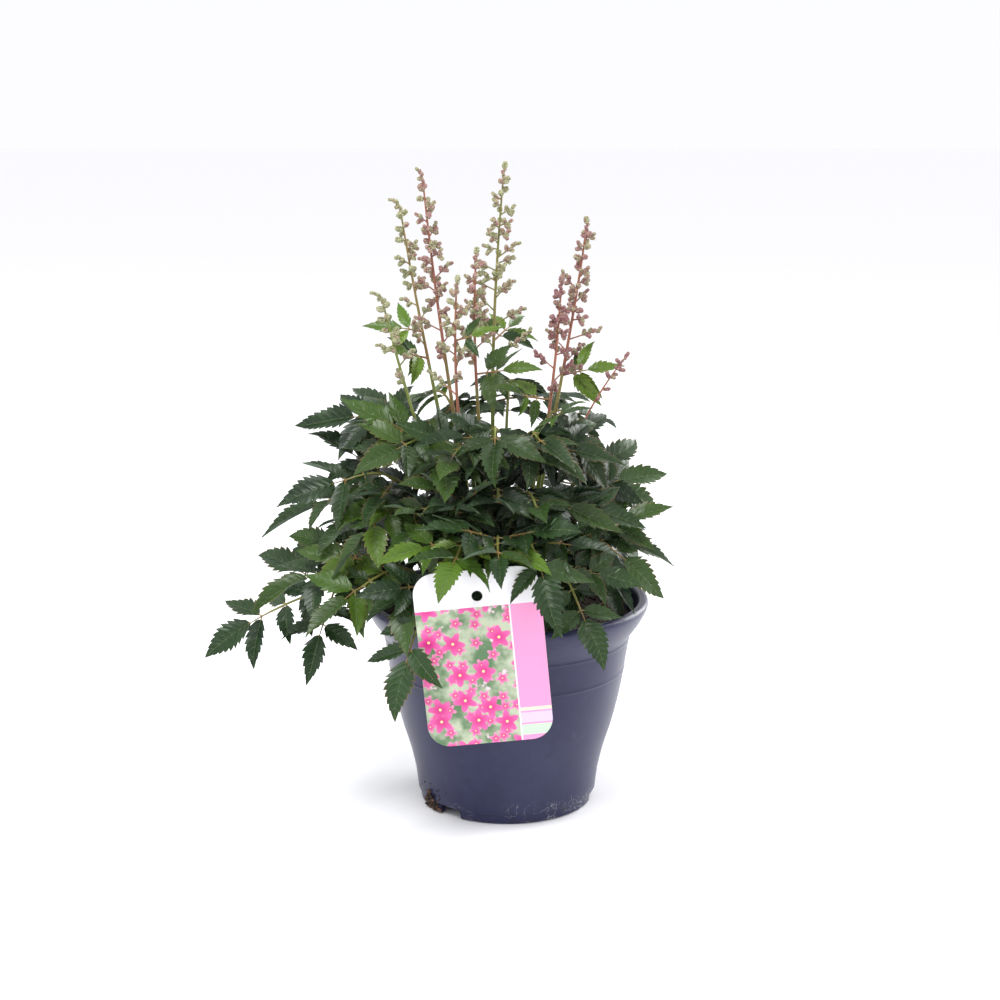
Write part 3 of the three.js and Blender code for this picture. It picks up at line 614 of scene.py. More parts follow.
# ---- Pot ----
def make_pot():
    """The wall is pulled up from the foot, over the rim and down inside to the floor, then closed."""
    floor_top = CHANNEL_DEPTH + POT_WALL
    underneath = [(20, 0), (44.4, 0), (45, 0.4), (46, CHANNEL_DEPTH), (55, CHANNEL_DEPTH), (55.4, 0)]
    foot = [
        (FOOT_RADIUS - 0.6, 0), (FOOT_RADIUS, 0.5), (FOOT_RADIUS + 0.7, FOOT_HEIGHT - 1.2),
        (FOOT_RADIUS + 0.9, FOOT_HEIGHT - 0.7), (FOOT_RADIUS + 1.7, FOOT_HEIGHT - 0.2),
        (FOOT_RADIUS + 2, FOOT_HEIGHT + 0.4),
    ]
    # two faint raised lines run round the wall, near its middle and under its shoulder
    wall = [
        (61.2, 14), (62.3, 22), (63.8, 29), (65.5, 36), (67.9, 44), (70.5, 52), (73.2, 62), (75.6, 72),
        (77.8, 83), (79.3, 91.4), (79.5, 92.6), (79.8, 93.0), (79.85, 93.6), (79.65, 94.1), (79.75, 95.4),
        (81.3, 105), (82.4, 112), (82.6, 113.4), (82.9, 113.8), (82.95, 114.4), (82.75, 114.9),
    ]
    shoulder = [(83.1, 116.0), (84.3, 118.0), (86.3, 120.8), (88.8, 124.2), (91.2, 128.0), (93.1, 131.6)]
    lip = [
        (94.4, 134.6), (RIM_RADIUS, RIM_WIDEST_AT), (94.8, 138.2), (94.1, 139.3), (93.0, 139.9),
        (91.8, POT_HEIGHT), (90.2, 139.9), (88.9, 139.3), (88.2, 138.2),
    ]
    inside = [
        (88.0, 136), (87.2, 130.4), (84.8, 125), (82.3, 121.2), (81.6, 119), (79.6, 107), (76.9, 94),
        (73.5, 76), (68.2, 52), (63.2, 36), (58.4, floor_top + 1.6), (57.2, floor_top), (44.4, floor_top),
        (43.6, floor_top - 0.6), (42.6, POT_WALL + 0.5), (42.0, POT_WALL), (20, POT_WALL),
    ]
    piece = pull_rings([*underneath, *foot, *wall, *shoulder, *lip, *inside], 96)
    for azimuth in NOTCH_AZIMUTHS:
        cut_notch(piece, math.radians(azimuth))
    settle(piece, "nursery_pot", [POT])
    round_off(piece, 40)
    dress(piece, "pot_plastic", "pot")
    return piece


def foot_radius(height):
    """The pot's outer radius at its foot and just above it."""
    if height < FOOT_HEIGHT - 0.8:
        return FOOT_RADIUS + 0.1 * height
    return FOOT_RADIUS + 1.9 + 0.13 * (height - FOOT_HEIGHT)


def cut_notch(pot, azimuth):
    """A drainage notch with a rounded top, cut through the foot's wall."""
    cutter = start_primitive(bpy.ops.mesh.primitive_cube_add, size=1, location=(0, 0, 0))
    cutter.scale = (2 * CHANNEL_DEPTH * MM, NOTCH_WIDTH * MM, 2 * (CHANNEL_DEPTH - 0.6) * MM)
    cutter.rotation_euler = (0, 0, azimuth)
    cutter.location = (FOOT_RADIUS * MM * math.cos(azimuth), FOOT_RADIUS * MM * math.sin(azimuth), 0)
    bpy.ops.object.transform_apply(location=True, rotation=True, scale=True)
    use_modifier(cutter, "BEVEL", width=1.6 * MM, segments=3)
    use_modifier(pot, "BOOLEAN", operation="DIFFERENCE", object=cutter, solver="EXACT")
    bpy.data.objects.remove(cutter)


# ---- Soil ----
CRUMBS, CRUMBS_REACH = 620, 79
CLUMP_BITS, CLUMP_AZIMUTH = 210, 213


def soil_height(x, y):
    """The soil's plain surface, a little higher at the crown."""
    outward = math.hypot(x - CROWN_X, y) / 80
    return SOIL_TOP + SOIL_CROWN_RISE * max(0.0, 1 - outward * outward)


def crumbled_height(x, y):
    """The soil's real surface: heaped round the crown, lumpy and crumbly, and smoother at the wall."""
    heaps = 2.6 * noise.noise(Vector((x / 17, y / 17, 3.0)))
    lumps = heaps + 1.5 * noise.noise(Vector((x / 5.5, y / 5.5, 9.0)))
    lumps += 0.9 * noise.noise(Vector((x / 2.4, y / 2.4, 5.0)))
    return soil_height(x, y) + lumps * (0.45 if math.hypot(x, y) > CRUMBS_REACH else 1)


def make_soil():
    """Fills the pot just inside its wall. Its top is pulled in by fine rings, then heaped and crumbled."""
    side = [
        (40, 2.6), (41.4, 2.6), (42.7, 9.6), (56.4, 9.8), (57.6, 11), (62.5, 36), (67.4, 52), (72.6, 76),
        (76.0, 94), (78.6, 107), (80.6, 118.4), (82.6, 124.4),
    ]
    rings = 44
    top = [(82.4 * (1 - i / rings), SOIL_TOP) for i in range(rings)]
    piece = pull_rings([*side, *top], 120)
    for vertex in piece.data.vertices:
        if vertex.co.z > (SOIL_TOP - 0.5) * MM:
            vertex.co.z = crumbled_height(vertex.co.x / MM, vertex.co.y / MM) * MM
    settle(piece, "potting_soil", [SOIL])
    round_off(piece, 75)
    dress(piece, "potting_soil", "soil")


def model_crumb():
    """A rough grain, two units across."""
    return template_of(start_primitive(bpy.ops.mesh.primitive_ico_sphere_add, subdivisions=1, radius=1))


def make_crumbs():
    """Loose bits lying on the soil: dark crumbs, slivers of bark and a few pale grains."""
    shape = model_crumb()
    draw = draws(77)
    growth = Growth()
    for _ in range(CRUMBS):
        angle, out = 2 * math.pi * draw(), CRUMBS_REACH * math.sqrt(draw())
        x, y = out * math.cos(angle), out * math.sin(angle)
        size = 0.6 + 1.5 * draw() ** 3
        wood = 1.0 if draw() < 0.22 else 0.0
        pale = 1.0 if draw() < 0.02 else 0.0
        stretch = Vector((1 + 2.6 * wood * draw(), 1 - 0.3 * wood, 0.75 - 0.3 * wood)) * size
        turn = Quaternion(UP, 2 * math.pi * draw()) @ Quaternion((0, 1, 0), 0.5 * (draw() - 0.5))
        base = Vector((x, y, crumbled_height(x, y) + 0.25 * size))
        points = [base + turn @ Vector(p * np.array(stretch)) for p in shape["points"]]
        growth.add(points, shape, 0, (wood, draw(), pale))
    piece = growth.make("soil_crumbs", [CRUMB], 30)
    dress(piece, "potting_soil")


def make_foot_clump():
    """Soil dried on to the outside of the foot beside a drainage notch, thickest low down, with strays."""
    shape = model_crumb()
    draw = draws(78)
    growth = Growth()
    for i in range(CLUMP_BITS):
        stray = i % 7 == 0
        aside = draw() + draw() - 1
        if stray:
            height = 1 + 18 * draw()
            size = 0.35 + 0.3 * draw()
            out = foot_radius(height)
        else:
            height = 1 + 13 * (1 - abs(aside)) * draw()
            size = 0.35 + 1.3 * draw() ** 2
            out = foot_radius(height) + 1.2 * draw()
        angle = math.radians(CLUMP_AZIMUTH + (22 if stray else 9) * aside)
        turn = Quaternion((draw() - 0.5, draw() - 0.5, 1), 6 * draw())
        base = Vector((out * math.cos(angle), out * math.sin(angle), max(height, size)))
        stretch = np.array((1 + 0.8 * draw(), 1, 0.8)) * size
        points = [base + turn @ Vector(p * stretch) for p in shape["points"]]
        growth.add(points, shape, 0, (draw() ** 2, draw(), 0.0))
    piece = growth.make("dried_soil_on_foot", [CRUMB], 30)
    dress(piece, "potting_soil")


# ---- Label ----
def make_label():
    """A card cut from a plane: rounded corners, a hanging hole, thickness and softened edges."""
    piece = start_primitive(bpy.ops.mesh.primitive_plane_add, size=1, location=(0, 0, 0))
    piece.scale = (LABEL_WIDTH * MM, LABEL_HEIGHT * MM, 1)
    bpy.ops.object.transform_apply(scale=True)
    use_modifier(piece, "BEVEL", affect="VERTICES", width=LABEL_CORNER * MM, segments=12)
    use_modifier(piece, "SOLIDIFY", thickness=LABEL_THICKNESS * MM, offset=0)
    drill = start_primitive(bpy.ops.mesh.primitive_cylinder_add, vertices=40, radius=LABEL_HOLE_RADIUS * MM,
                            depth=0.01, location=(0, (LABEL_HEIGHT / 2 - LABEL_HOLE_DROP) * MM, 0))
    use_modifier(piece, "BOOLEAN", operation="DIFFERENCE", object=drill, solver="EXACT")
    bpy.data.objects.remove(drill)
    use_modifier(piece, "BEVEL", width=0.14 * MM, segments=2, limit_method="ANGLE",
                 angle_limit=math.radians(60))
    lay_card_chart(piece.data)
    # stood up facing the front, turned in its plane and leant in under the rim
    lean = math.radians(LABEL_LEAN)
    tilt = Quaternion((1, 0, 0), lean)
    turn = tilt @ Quaternion((1, 0, 0), math.pi / 2) @ Quaternion(UP, math.radians(LABEL_TURN))
    rim_to_middle = (RIM_WIDEST_AT - LABEL_CENTRE_Z) * math.tan(lean)
    place = Vector((LABEL_X, rim_to_middle - RIM_RADIUS - SEAT_GAP, LABEL_CENTRE_Z))
    place += tilt @ Vector((0, -LABEL_THICKNESS / 2, 0))
    for vertex in piece.data.vertices:
        vertex.co = turn @ vertex.co + place * MM
    settle(piece, "plant_label", [CARD])
    round_off(piece, 30)
    dress(piece, "label_card", "label")
    return piece


def lay_card_chart(mesh):
    """Across and up the card's face from 0 to 1, and 2 further across on all that isn't its face."""
    chart = mesh.uv_layers.new(name="card")
    for polygon in mesh.polygons:
        for corner in polygon.loop_indices:
            spot = mesh.vertices[mesh.loops[corner].vertex_index].co
            across, up = spot.x / (LABEL_WIDTH * MM) + 0.5, spot.y / (LABEL_HEIGHT * MM) + 0.5
            chart.data[corner].uv = (across if polygon.normal.z > 0.5 else across + 2, up)
    for layer in [layer for layer in mesh.uv_layers if layer.name != "card"]:
        mesh.uv_layers.remove(layer)


# ---- Gathered growth ----
def template_of(piece):
    """A modelled shape's points, faces and charts as plain lists, to be copied by growth. The model itself
    is removed."""
    mesh = piece.data
    points = np.array([v.co for v in mesh.vertices], float)
    faces = [tuple(p.vertices) for p in mesh.polygons]
    blade = mesh.uv_layers.get("blade")
    edge = mesh.attributes.get("edge")
    corners = [
        (*blade.data[c].uv, edge.data[mesh.loops[c].vertex_index].value, 0.0) if blade else (0.0,) * 4
        for p in mesh.polygons for c in p.loop_indices
    ]
    below = [1.0 if blade and p.normal.z < 0 else 0.0 for p in mesh.polygons]
    bpy.data.objects.remove(piece)
    return {"points": points, "faces": faces, "corners": np.array(corners), "below": below}


class Growth:
    """Copies of modelled shapes gathered, in millimetres, into one piece."""

    def __init__(self):
        self.points = []
        self.faces = []
        self.corners = []
        self.tones = []
        self.finishes = []

    def add(self, points, shape, finish, tone):
        """A shape's faces over these points. The last of its three tones is raised to 1 under a blade."""
        start = len(self.points)
        self.points.extend(tuple(p) for p in points)
        self.corners.append(shape["corners"])
        for face, below in zip(shape["faces"], shape["below"]):
            self.faces.append([start + i for i in face])
            self.finishes.append(finish)
            self.tones.extend([(tone[0], tone[1], max(tone[2], below), 1.0)] * len(face))

    def take(self, other, finish_of):
        """Adds all of another growth, with its finishes renumbered."""
        start = len(self.points)
        self.points.extend(other.points)
        self.faces.extend([[start + i for i in face] for face in other.faces])
        self.corners.extend(other.corners)
        self.tones.extend(other.tones)
        self.finishes.extend([finish_of[finish] for finish in other.finishes])

    def make(self, name, materials, crease):
        """The piece, smooth where its faces meet at less than the crease, in degrees."""
        mesh = bpy.data.meshes.new(name)
        mesh.from_pydata((np.array(self.points) * MM).tolist(), [], self.faces)
        for material in materials:
            mesh.materials.append(material)
        mesh.polygons.foreach_set("material_index", self.finishes)
        corners = np.concatenate(self.corners)
        mesh.uv_layers.new(name="blade").data.foreach_set("uv", corners[:, :2].ravel())
        mesh.uv_layers.new(name="margin").data.foreach_set("uv", corners[:, 2:].ravel())
        tone = mesh.color_attributes.new("tone", "FLOAT_COLOR", "CORNER")
        tone.data.foreach_set("color", np.array(self.tones).ravel())
        mesh.update()
        piece = bpy.data.objects.new(name, mesh)
        bpy.context.scene.collection.objects.link(piece)
        round_off(piece, crease)
        return piece


def tube_shape(rings, sides):
    """Faces of a closed tube of so many rings."""
    faces = [
        (r * sides + s, r * sides + (s + 1) % sides, (r + 1) * sides + (s + 1) % sides, (r + 1) * sides + s)
        for r in range(rings - 1) for s in range(sides)
    ]
    faces += [tuple(reversed(range(sides))), tuple(range((rings - 1) * sides, rings * sides))]
    count = sum(len(face) for face in faces)
    return {"faces": faces, "corners": np.zeros((count, 4)), "below": [0.0] * len(faces)}


TUBES = {}


def grow_tube(growth, line, radii, sides, finish, tone):
    """A tube along a line of points, with a radius for each."""
    key = (len(line), sides)
    if key not in TUBES:
        TUBES[key] = tube_shape(*key)
    points = []
    side = None
    for i, (spot, radius) in enumerate(zip(line, radii)):
        dir_ = (line[min(i + 1, len(line) - 1)] - line[max(i - 1, 0)]).normalized()
        if side is None:
            side = dir_.cross(Vector((0.31, 0.87, 0.38))).normalized()
        side = (side - dir_ * side.dot(dir_)).normalized()
        other = dir_.cross(side)
        for s in range(sides):
            angle = 2 * math.pi * s / sides
            points.append(spot + side * (radius * math.cos(angle)) + other * (radius * math.sin(angle)))
    growth.add(points, TUBES[key], finish, tone)


# ---- Leaflets ----
def leaflet_width(along):
    """Half the width there as a share of the greatest."""
    return along**0.62 * (1 - along) ** 1.2 / 0.318


def leaflet_edge(teeth):
    """[place along, share of the half width] from base to tip: each tooth has its notch, a small tooth and
    its point."""
    first, last = 0.12, 0.93
    pitch = (last - first) / teeth
    edge = [(0.0, 0.0), (0.045, 0.92)]
    for tooth in range(teeth):
        start = first + tooth * pitch
        edge += [(start, 0.86), (start + 0.42 * pitch, 1.0), (start + 1.12 * pitch, 1.17)]
    return [*edge, (1.0, 0.0)]


BLADE_PUFF, VEIN_DIP = 0.010, 0.003
RIB_DEPTH = 0.022


def grid_face(edge, strips):
    """A grid whose columns follow the edge's points, with strips from one edge over the rib to the other."""
    piece = start_primitive(bpy.ops.mesh.primitive_grid_add, x_subdivisions=len(edge) - 1,
                            y_subdivisions=strips, size=2)
    nearness = piece.data.attributes.new("edge", "FLOAT", "POINT")
    for vertex in piece.data.vertices:
        across = vertex.co.y
        off_rib = abs(across)
        nearness.data[vertex.index].value = off_rib
        column = round((vertex.co.x + 1) / 2 * (len(edge) - 1))
        along, share = edge[column]
        half_width = LEAFLET_ASPECT * leaflet_width(along)
        on_rib = min(along, max(0.002 * column, along - 0.8 * half_width))
        # the blade stands up between its side veins, which end in the tooth points
        puff = BLADE_PUFF if column % 3 else -VEIN_DIP
        lift = puff * math.sin(math.pi * off_rib) if strips > 2 else 0.0
        vertex.co = Vector((on_rib + (along - on_rib) * off_rib, across * share * half_width, lift))
    return piece


def model_leaflet(teeth):
    """A leaflet one unit long: an upper face of four strips and a lower one of two, sewn together along the
    toothed edge."""
    edge = leaflet_edge(teeth)
    lower = grid_face(edge, 2)
    for vertex in lower.data.vertices:
        if abs(vertex.co.y) < 1e-6:
            vertex.co.z = -RIB_DEPTH * (1 - 0.7 * vertex.co.x)
    bpy.ops.object.mode_set(mode="EDIT")
    bpy.ops.mesh.select_all(action="SELECT")
    bpy.ops.mesh.flip_normals()
    bpy.ops.object.mode_set(mode="OBJECT")
    leaflet = grid_face(edge, 4)
    lower.select_set(True)
    bpy.ops.object.join()
    bpy.ops.object.mode_set(mode="EDIT")
    bpy.ops.mesh.select_all(action="SELECT")
    bpy.ops.mesh.remove_doubles(threshold=1e-5)
    bpy.ops.object.mode_set(mode="OBJECT")
    for layer in list(leaflet.data.uv_layers):
        leaflet.data.uv_layers.remove(layer)
    blade = leaflet.data.uv_layers.new(name="blade")
    for loop in leaflet.data.loops:
        spot = leaflet.data.vertices[loop.vertex_index].co
        blade.data[loop.index].uv = (spot.x, spot.y)
    return template_of(leaflet)


# by whether it is a large one
LEAFLETS = {True: model_leaflet(8), False: model_leaflet(6)}


def bent_points(shape, leaf, wave):
    """The leaflet's points in place: bent down along its rib, folded up and twisted along it, and waved."""
    along, aside, lift = shape["points"].T
    length, bend, fold = leaf["length"], leaf["bend"], leaf["fold"]
    sway, height, phase = wave
    dir_, up = np.array(leaf["dir"]), np.array(leaf["up"])
    half, hand = np.abs(aside), np.sign(aside)
    off_rib = half * length * leaf.get("narrow", 1.0)
    ripple = height * length * np.sin(along * 9 + phase) * (half / LEAFLET_ASPECT) ** 2 * hand
    rise = off_rib * np.sin(fold) * (1 - 0.35 * off_rib / (LEAFLET_ASPECT * length)) + lift * length + ripple
    flat = hand * off_rib * np.cos(fold)
    twist = leaf["twist"] * along
    sideways = flat * np.cos(twist) - rise * np.sin(twist) + 1.5 * sway * length * along**2 * (1 - along)
    upward = flat * np.sin(twist) + rise * np.cos(twist)
    rib = np.outer(np.sin(bend * along), dir_) - np.outer(1 - np.cos(bend * along), up)
    up_at = np.outer(np.cos(bend * along), up) + np.outer(np.sin(bend * along), dir_)
    across = np.cross(dir_, up)
    return np.array(leaf["base"]) + rib * length / bend + np.outer(sideways, across) + up_at * upward[:, None]


# ---- The growth rule shared with the solids ----
class Bezier:
    """A cubic curve."""

    def __init__(self, *points):
        self.points = points

    def at(self, t):
        a, b, c, d = self.points
        u = 1 - t
        return a * (u * u * u) + b * (3 * u * u * t) + c * (3 * u * t * t) + d * (t * t * t)

    def tangent(self, t):
        return (self.at(min(1, t + 0.0001)) - self.at(max(0, t - 0.0001))).normalized()

    def length(self):
        return sum((self.at((i + 1) / 200) - self.at(i / 200)).length for i in range(200))

    def line(self, rings):
        """So many points at even steps of the curve's own parameter."""
        return [self.at(i / (rings - 1)) for i in range(rings)]


def on_tube(path, along, steps):
    """A point of the solid's tube, whose middle line runs straight from ring to ring."""
    ring = min(steps - 1, math.floor(along * steps))
    return path.at(ring / steps).lerp(path.at((ring + 1) / steps), along * steps - ring)


def turned(vector, axis, angle):
    return Quaternion(axis, angle) @ vector


def turned_frame(dir_, up, yaw, pitch, roll):
    """A direction and its upper side, turned aside, then up, then about the direction."""
    across = turned(dir_.cross(up), up, yaw)
    new_dir = turned(turned(dir_, up, yaw), across, pitch)
    return new_dir, turned(turned(up, across, pitch), new_dir, roll)


def frame_on(path, along):
    """The curve's direction there, and the side of it that faces up."""
    dir_ = path.tangent(along)
    across = dir_.cross(UP).normalized()
    return dir_, across.cross(dir_)


def leaflet_three(draw, size, share, large):
    """The three leaflets at a twig's end: a middle one and a smaller one on each side."""
    def own(yaw, own_share, own_large):
        a, b, c, d = draw(), draw(), draw(), draw()
        return {
            "turn": (yaw + 0.24 * (a - 0.5), 0.5 * (b - 0.5), 0.6 * (c - 0.5)), "large": own_large,
            "bend": 0.15 + 0.5 * b, "fold": 0.2 + 0.25 * c,
            "length": LEAFLET_LENGTH * size * own_share * (0.88 + 0.24 * d),
            "stem": size * own_share * (MIDDLE_STEM if yaw == 0 else SIDE_STEM),
        }

    return [own(0, share, large), own(-SIDE_YAW, 0.8 * share, False), own(SIDE_YAW, 0.8 * share, False)]


def frond_path(row, turn):
    """The stalk's curve: up from the crown, over and out to the frond's end."""
    azimuth, crown, reach, arch, end, _ = row
    angle = math.radians(azimuth + turn)

    def at(out, height):
        return Vector((CROWN_X + out * math.cos(angle), out * math.sin(angle), height))

    foot = soil_height(at(crown, 0).x, at(crown, 0).y) - ROOT_DEPTH
    return Bezier(at(crown, foot), at(crown + 0.12 * reach, foot + 0.6 * (arch - foot)),
                  at(max(crown, 0.6 * reach), arch), at(reach, end))


def frond_plan(row, index, turn):
    """The stalk's curve and its three groups of leaflets, before they are turned clear of the others."""
    draw = draws(101 + index)
    size = row[5]
    path = frond_path(row, turn)
    lean = 0.5 * (draw() - 0.5) + FACING_FRONT * math.cos(math.radians(row[0]))
    end_dir, end_up = turned_frame(*frame_on(path, 1), 0, 0, lean)
    groups = [{"from": on_tube(path, 1, STALK_STEPS), "dir": end_dir, "up": end_up, "reach": END_TWIG * size,
               "blades": leaflet_three(draw, size, 1, True)}]
    for side in (1, -1):
        lift = LOW_SIDE_LIFT * max(0.0, -side * lean)
        reach = size * (20 + 8 * draw())
        dir_, up = turned_frame(end_dir, end_up, side, 0.15 + lift - 0.3 * draw(), 0)
        groups.append({"from": on_tube(path, NODE_AT, STALK_STEPS), "dir": dir_, "up": up, "reach": reach,
                       "blades": leaflet_three(draw, size, 0.9, False)})
    return path, groups


def spread_group(group, attempt):
    """Where the group's hub and leaflets are once it is turned by one of the tries."""
    yaw, pitch, roll, share = attempt
    dir_, up = turned_frame(group["dir"], group["up"], yaw, pitch, roll)
    hub = group["from"] + dir_ * (group["reach"] * share)
    leaves = []
    for blade in group["blades"]:
        own_dir, own_up = turned_frame(dir_, up, *blade["turn"])
        base = hub + own_dir * (blade["stem"] * share)
        length = blade["length"] * share
        leaves.append({**blade, "dir": own_dir, "up": own_up, "base": base, "length": length})
    return {**group, "dir": dir_, "up": up, "hub": hub, "leaves": leaves, "share": share}


def leaf_tip(leaf):
    """Where the leaflet's rib ends in the solid: it bends down evenly along its length."""
    bend, length = leaf["bend"], leaf["length"]
    return (leaf["base"] + leaf["dir"] * (length * math.sin(bend) / bend)
            - leaf["up"] * (length * (1 - math.cos(bend)) / bend))


CORNER_SLACK = 0.15


def corners_of(node):
    """The corners of a solid, in millimetres."""
    mesh = frame["nodes"][node].data
    spots = np.zeros(len(mesh.vertices) * 3)
    mesh.vertices.foreach_get("co", spots)
    return np.unique(np.round(spots.reshape(-1, 3) / MM, 2), axis=0)


def has_corners(corners, spots):
    """True if each spot is a corner of the solid, to within the rounding of its mesh."""
    return all(np.abs(corners - np.array(spot)).max(axis=1).min() < CORNER_SLACK for spot in spots)


def found_group(corners, group):
    """The group as it stands in the solid, or None if the solid has none there."""
    for attempt in TRIES:
        spread = spread_group(group, attempt)
        if has_corners(corners, [leaf_tip(leaf) for leaf in spread["leaves"]]):
            return spread
    return None


# ---- Fronds ----
# the pot and the label, which no added leaflet cuts through
BARRIERS = []
BARRIER_MARGIN = 4
SOIL_RADIUS, SOIL_MARGIN = 84, 1.5
INSIDE_MARGIN = 0.25
# [place along the stalk, length] of the pairs of leaflets added between those of the solid, from low to high
STALK_PAIRS = [(0.42, 22), (0.54, 25), (0.64, 26), (0.84, 28), (0.94, 24)]
BACK_PAIRS = [(0.48, 27), (0.74, 27)]


def tree_of(piece):
    """The piece's faces in millimetres, to test leaflets against."""
    corners = [vertex.co / MM for vertex in piece.data.vertices]
    return BVHTree.FromPolygons(corners, [tuple(face.vertices) for face in piece.data.polygons])


def keeps_inside(points):
    """True if all of them are well inside the box of the solids."""
    low, high = np.array(CAD_LOW) / MM + INSIDE_MARGIN, np.array(CAD_HIGH) / MM - INSIDE_MARGIN
    return (points.min(axis=0) >= low).all() and (points.max(axis=0) <= high).all()


def pierces(points, shape):
    """True if a leaflet cuts through the pot, the label or the soil."""
    label_top = LABEL_CENTRE_Z + LABEL_HEIGHT / 2
    if points[:, 2].min() > label_top + BARRIER_MARGIN:
        return False
    tree = BVHTree.FromPolygons([Vector(p) for p in points], shape["faces"])
    if any(tree.overlap(barrier) for barrier in BARRIERS):
        return True
    return any(math.hypot(x, y) < SOIL_RADIUS and z < soil_height(x, y) + SOIL_MARGIN for x, y, z in points)


def grow_leaflet(growth, leaf, start, draw, youth, added):
    """One leaflet on its own stalk from start. It is made smaller until it is inside the box, and an added
    one is left out if it would pierce something."""
    shape = LEAFLETS[leaf["large"]]
    sway, height, phase = 0.5 * (draw() - 0.5), 0.02 + 0.02 * draw(), 6 * draw()
    chance = draw()
    youth = min(1.0, youth * (0.2 + 1.3 * draw()))
    leaf = {**leaf, "fold": leaf["fold"] * (0.6 + 1.5 * draw()), "twist": 1.3 * (draw() - 0.5)}
    points = bent_points(shape, leaf, (sway, height, phase))
    for _ in range(6):
        if keeps_inside(points):
            break
        leaf["length"] *= 0.93
        points = bent_points(shape, leaf, (0.0, height, phase))
    if not keeps_inside(points) or (added and pierces(points, shape)):
        return
    growth.add(points, shape, 0, (youth, chance, 0.0))
    into = leaf["base"] + leaf["dir"] * (0.05 * leaf["length"])
    grow_tube(growth, [start, start.lerp(into, 0.5), into], [0.55, 0.42, 0.34], 5, 1, (0.5, chance, 0.0))


def grow_side_pair(growth, draw, spot, dir_, up, size, youth):
    """An added pair of leaflets on a twig or on the rachis."""
    for side in (1, -1):
        a, b, c, d = draw(), draw(), draw(), draw()
        yaw, pitch, roll = side * (1.15 + 0.3 * (a - 0.5)), 0.6 * (b - 0.45), 0.7 * (c - 0.5)
        own_dir, own_up = turned_frame(dir_, up, yaw, pitch, roll)
        leaf = {"large": False, "bend": 0.3 + 0.6 * b, "fold": 0.2 + 0.25 * c,
                "length": size * (0.85 + 0.3 * d), "dir": own_dir, "up": own_up, "base": spot + own_dir * 2.2}
        grow_leaflet(growth, leaf, spot, draw, youth, True)


def grow_group(growth, group, draw, youth, redness):
    """A twig with its three leaflets, and on a long one a pair added near its middle."""
    start, hub = group["from"], group["hub"]
    twig = [start.lerp(hub, i / 3) for i in range(4)]
    grow_tube(growth, twig, [0.75, 0.68, 0.6, 0.62], 6, 1, (redness, draw(), 0.0))
    for leaf in group["leaves"]:
        grow_leaflet(growth, leaf, hub, draw, youth, False)
    if (hub - start).length > 11:
        spot = start.lerp(hub, 0.42 + 0.2 * draw())
        grow_side_pair(growth, draw, spot, group["dir"], group["up"], 25 * group["share"], youth)


def added_pairs(azimuth):
    """Few on the right, where the mound is open, and more at the back."""
    if math.cos(azimuth) > 0.7:
        return STALK_PAIRS[3:]
    if math.sin(azimuth) > 0.4:
        return STALK_PAIRS + BACK_PAIRS
    return STALK_PAIRS


def make_frond(row, index):
    """The stalk and groups as they stand in the solid, with more leaflets between them."""
    name = f"frond_{index + 1:02d}"
    corners = corners_of(name)
    plans = []
    for turn in FROND_TURNS:
        path, groups = frond_plan(row, index, turn)
        found = [found_group(corners, group) for group in groups]
        plans.append((path, [group for group in found if group]))
    path, found = max(plans, key=lambda plan: len(plan[1]))
    draw = draws(901 + index)
    youth = YOUNG_FRONDS.get(index + 1, 0.12 * draw())
    redness = 0.15 + 0.45 * draw()
    growth = Growth()
    rings = 17
    radii = [1.5 - 0.75 * i / (rings - 1) for i in range(rings)]
    grow_tube(growth, path.line(rings), radii, 7, 1, (redness * 0.7, draw(), 0.1))
    for group in found:
        grow_group(growth, group, draw, youth, redness)
    azimuth = math.radians(row[0])
    dir_, up = turned_frame(*frame_on(path, 1), 0, 0, FACING_FRONT * math.cos(azimuth))
    for along, length in added_pairs(azimuth):
        grow_side_pair(growth, draw, path.at(along), dir_, up, length * row[5], youth)
    piece = growth.make(f"leaf_{name}", [LEAF, STALK], 50)
    dress(piece, "leaf", name)


# ---- Flower sprays ----
def model_bud():
    """One closed bud, a unit across: a ball a little flattened where it sits."""
    bud = start_primitive(bpy.ops.mesh.primitive_uv_sphere_add, segments=6, ring_count=4, radius=0.5)
    for vertex in bud.data.vertices:
        vertex.co.z *= 1.05 if vertex.co.z > 0 else 0.8
    return template_of(bud)


BUD_SHAPE = model_bud()
# any direction that no branch runs along, to turn the buds of a cluster from
CLUSTER_SIDE = Vector((0.2, 0.9, 0.4))


def grow_bud(growth, spot, dir_, size, tone):
    """One bud with its closed end pointing along dir_."""
    turn = UP.rotation_difference(dir_)
    growth.add([spot + turn @ (Vector(p) * size) for p in BUD_SHAPE["points"]], BUD_SHAPE, 1, tone)


def grow_cluster(growth, draw, start, dir_, length, width, tint):
    """Tiny round buds crowded into an oval."""
    mauve, dark = tint
    side = dir_.cross(CLUSTER_SIDE).normalized()
    size = 0.5 * width
    steps = max(3, round(length / (0.62 * size)))
    own_mauve = mauve + 0.8 * (draw() - 0.5)
    for i in range(steps):
        share = (i + 0.5) / steps
        roundness = math.sin(math.pi * min(0.5, 0.14 + min(share, 1 - share) * length / width))
        spread = 0.5 * width * roundness - 0.4 * size
        number = 5 if spread > 0.35 * size else 3
        for k in range(number):
            out = Quaternion(dir_, i * 0.9 + 2 * math.pi * (k + 0.3 * draw()) / number) @ side
            spot = start + dir_ * (length * share) + out * (max(spread, 0.14 * size) * (0.92 + 0.16 * draw()))
            tone = (min(1, max(0, own_mauve + 0.3 * (draw() - 0.5))), draw(), dark)
            facing = (out + dir_ * (3 * share - 1)).normalized()
            grow_bud(growth, spot, facing, size * (0.9 + 0.22 * draw()), tone)


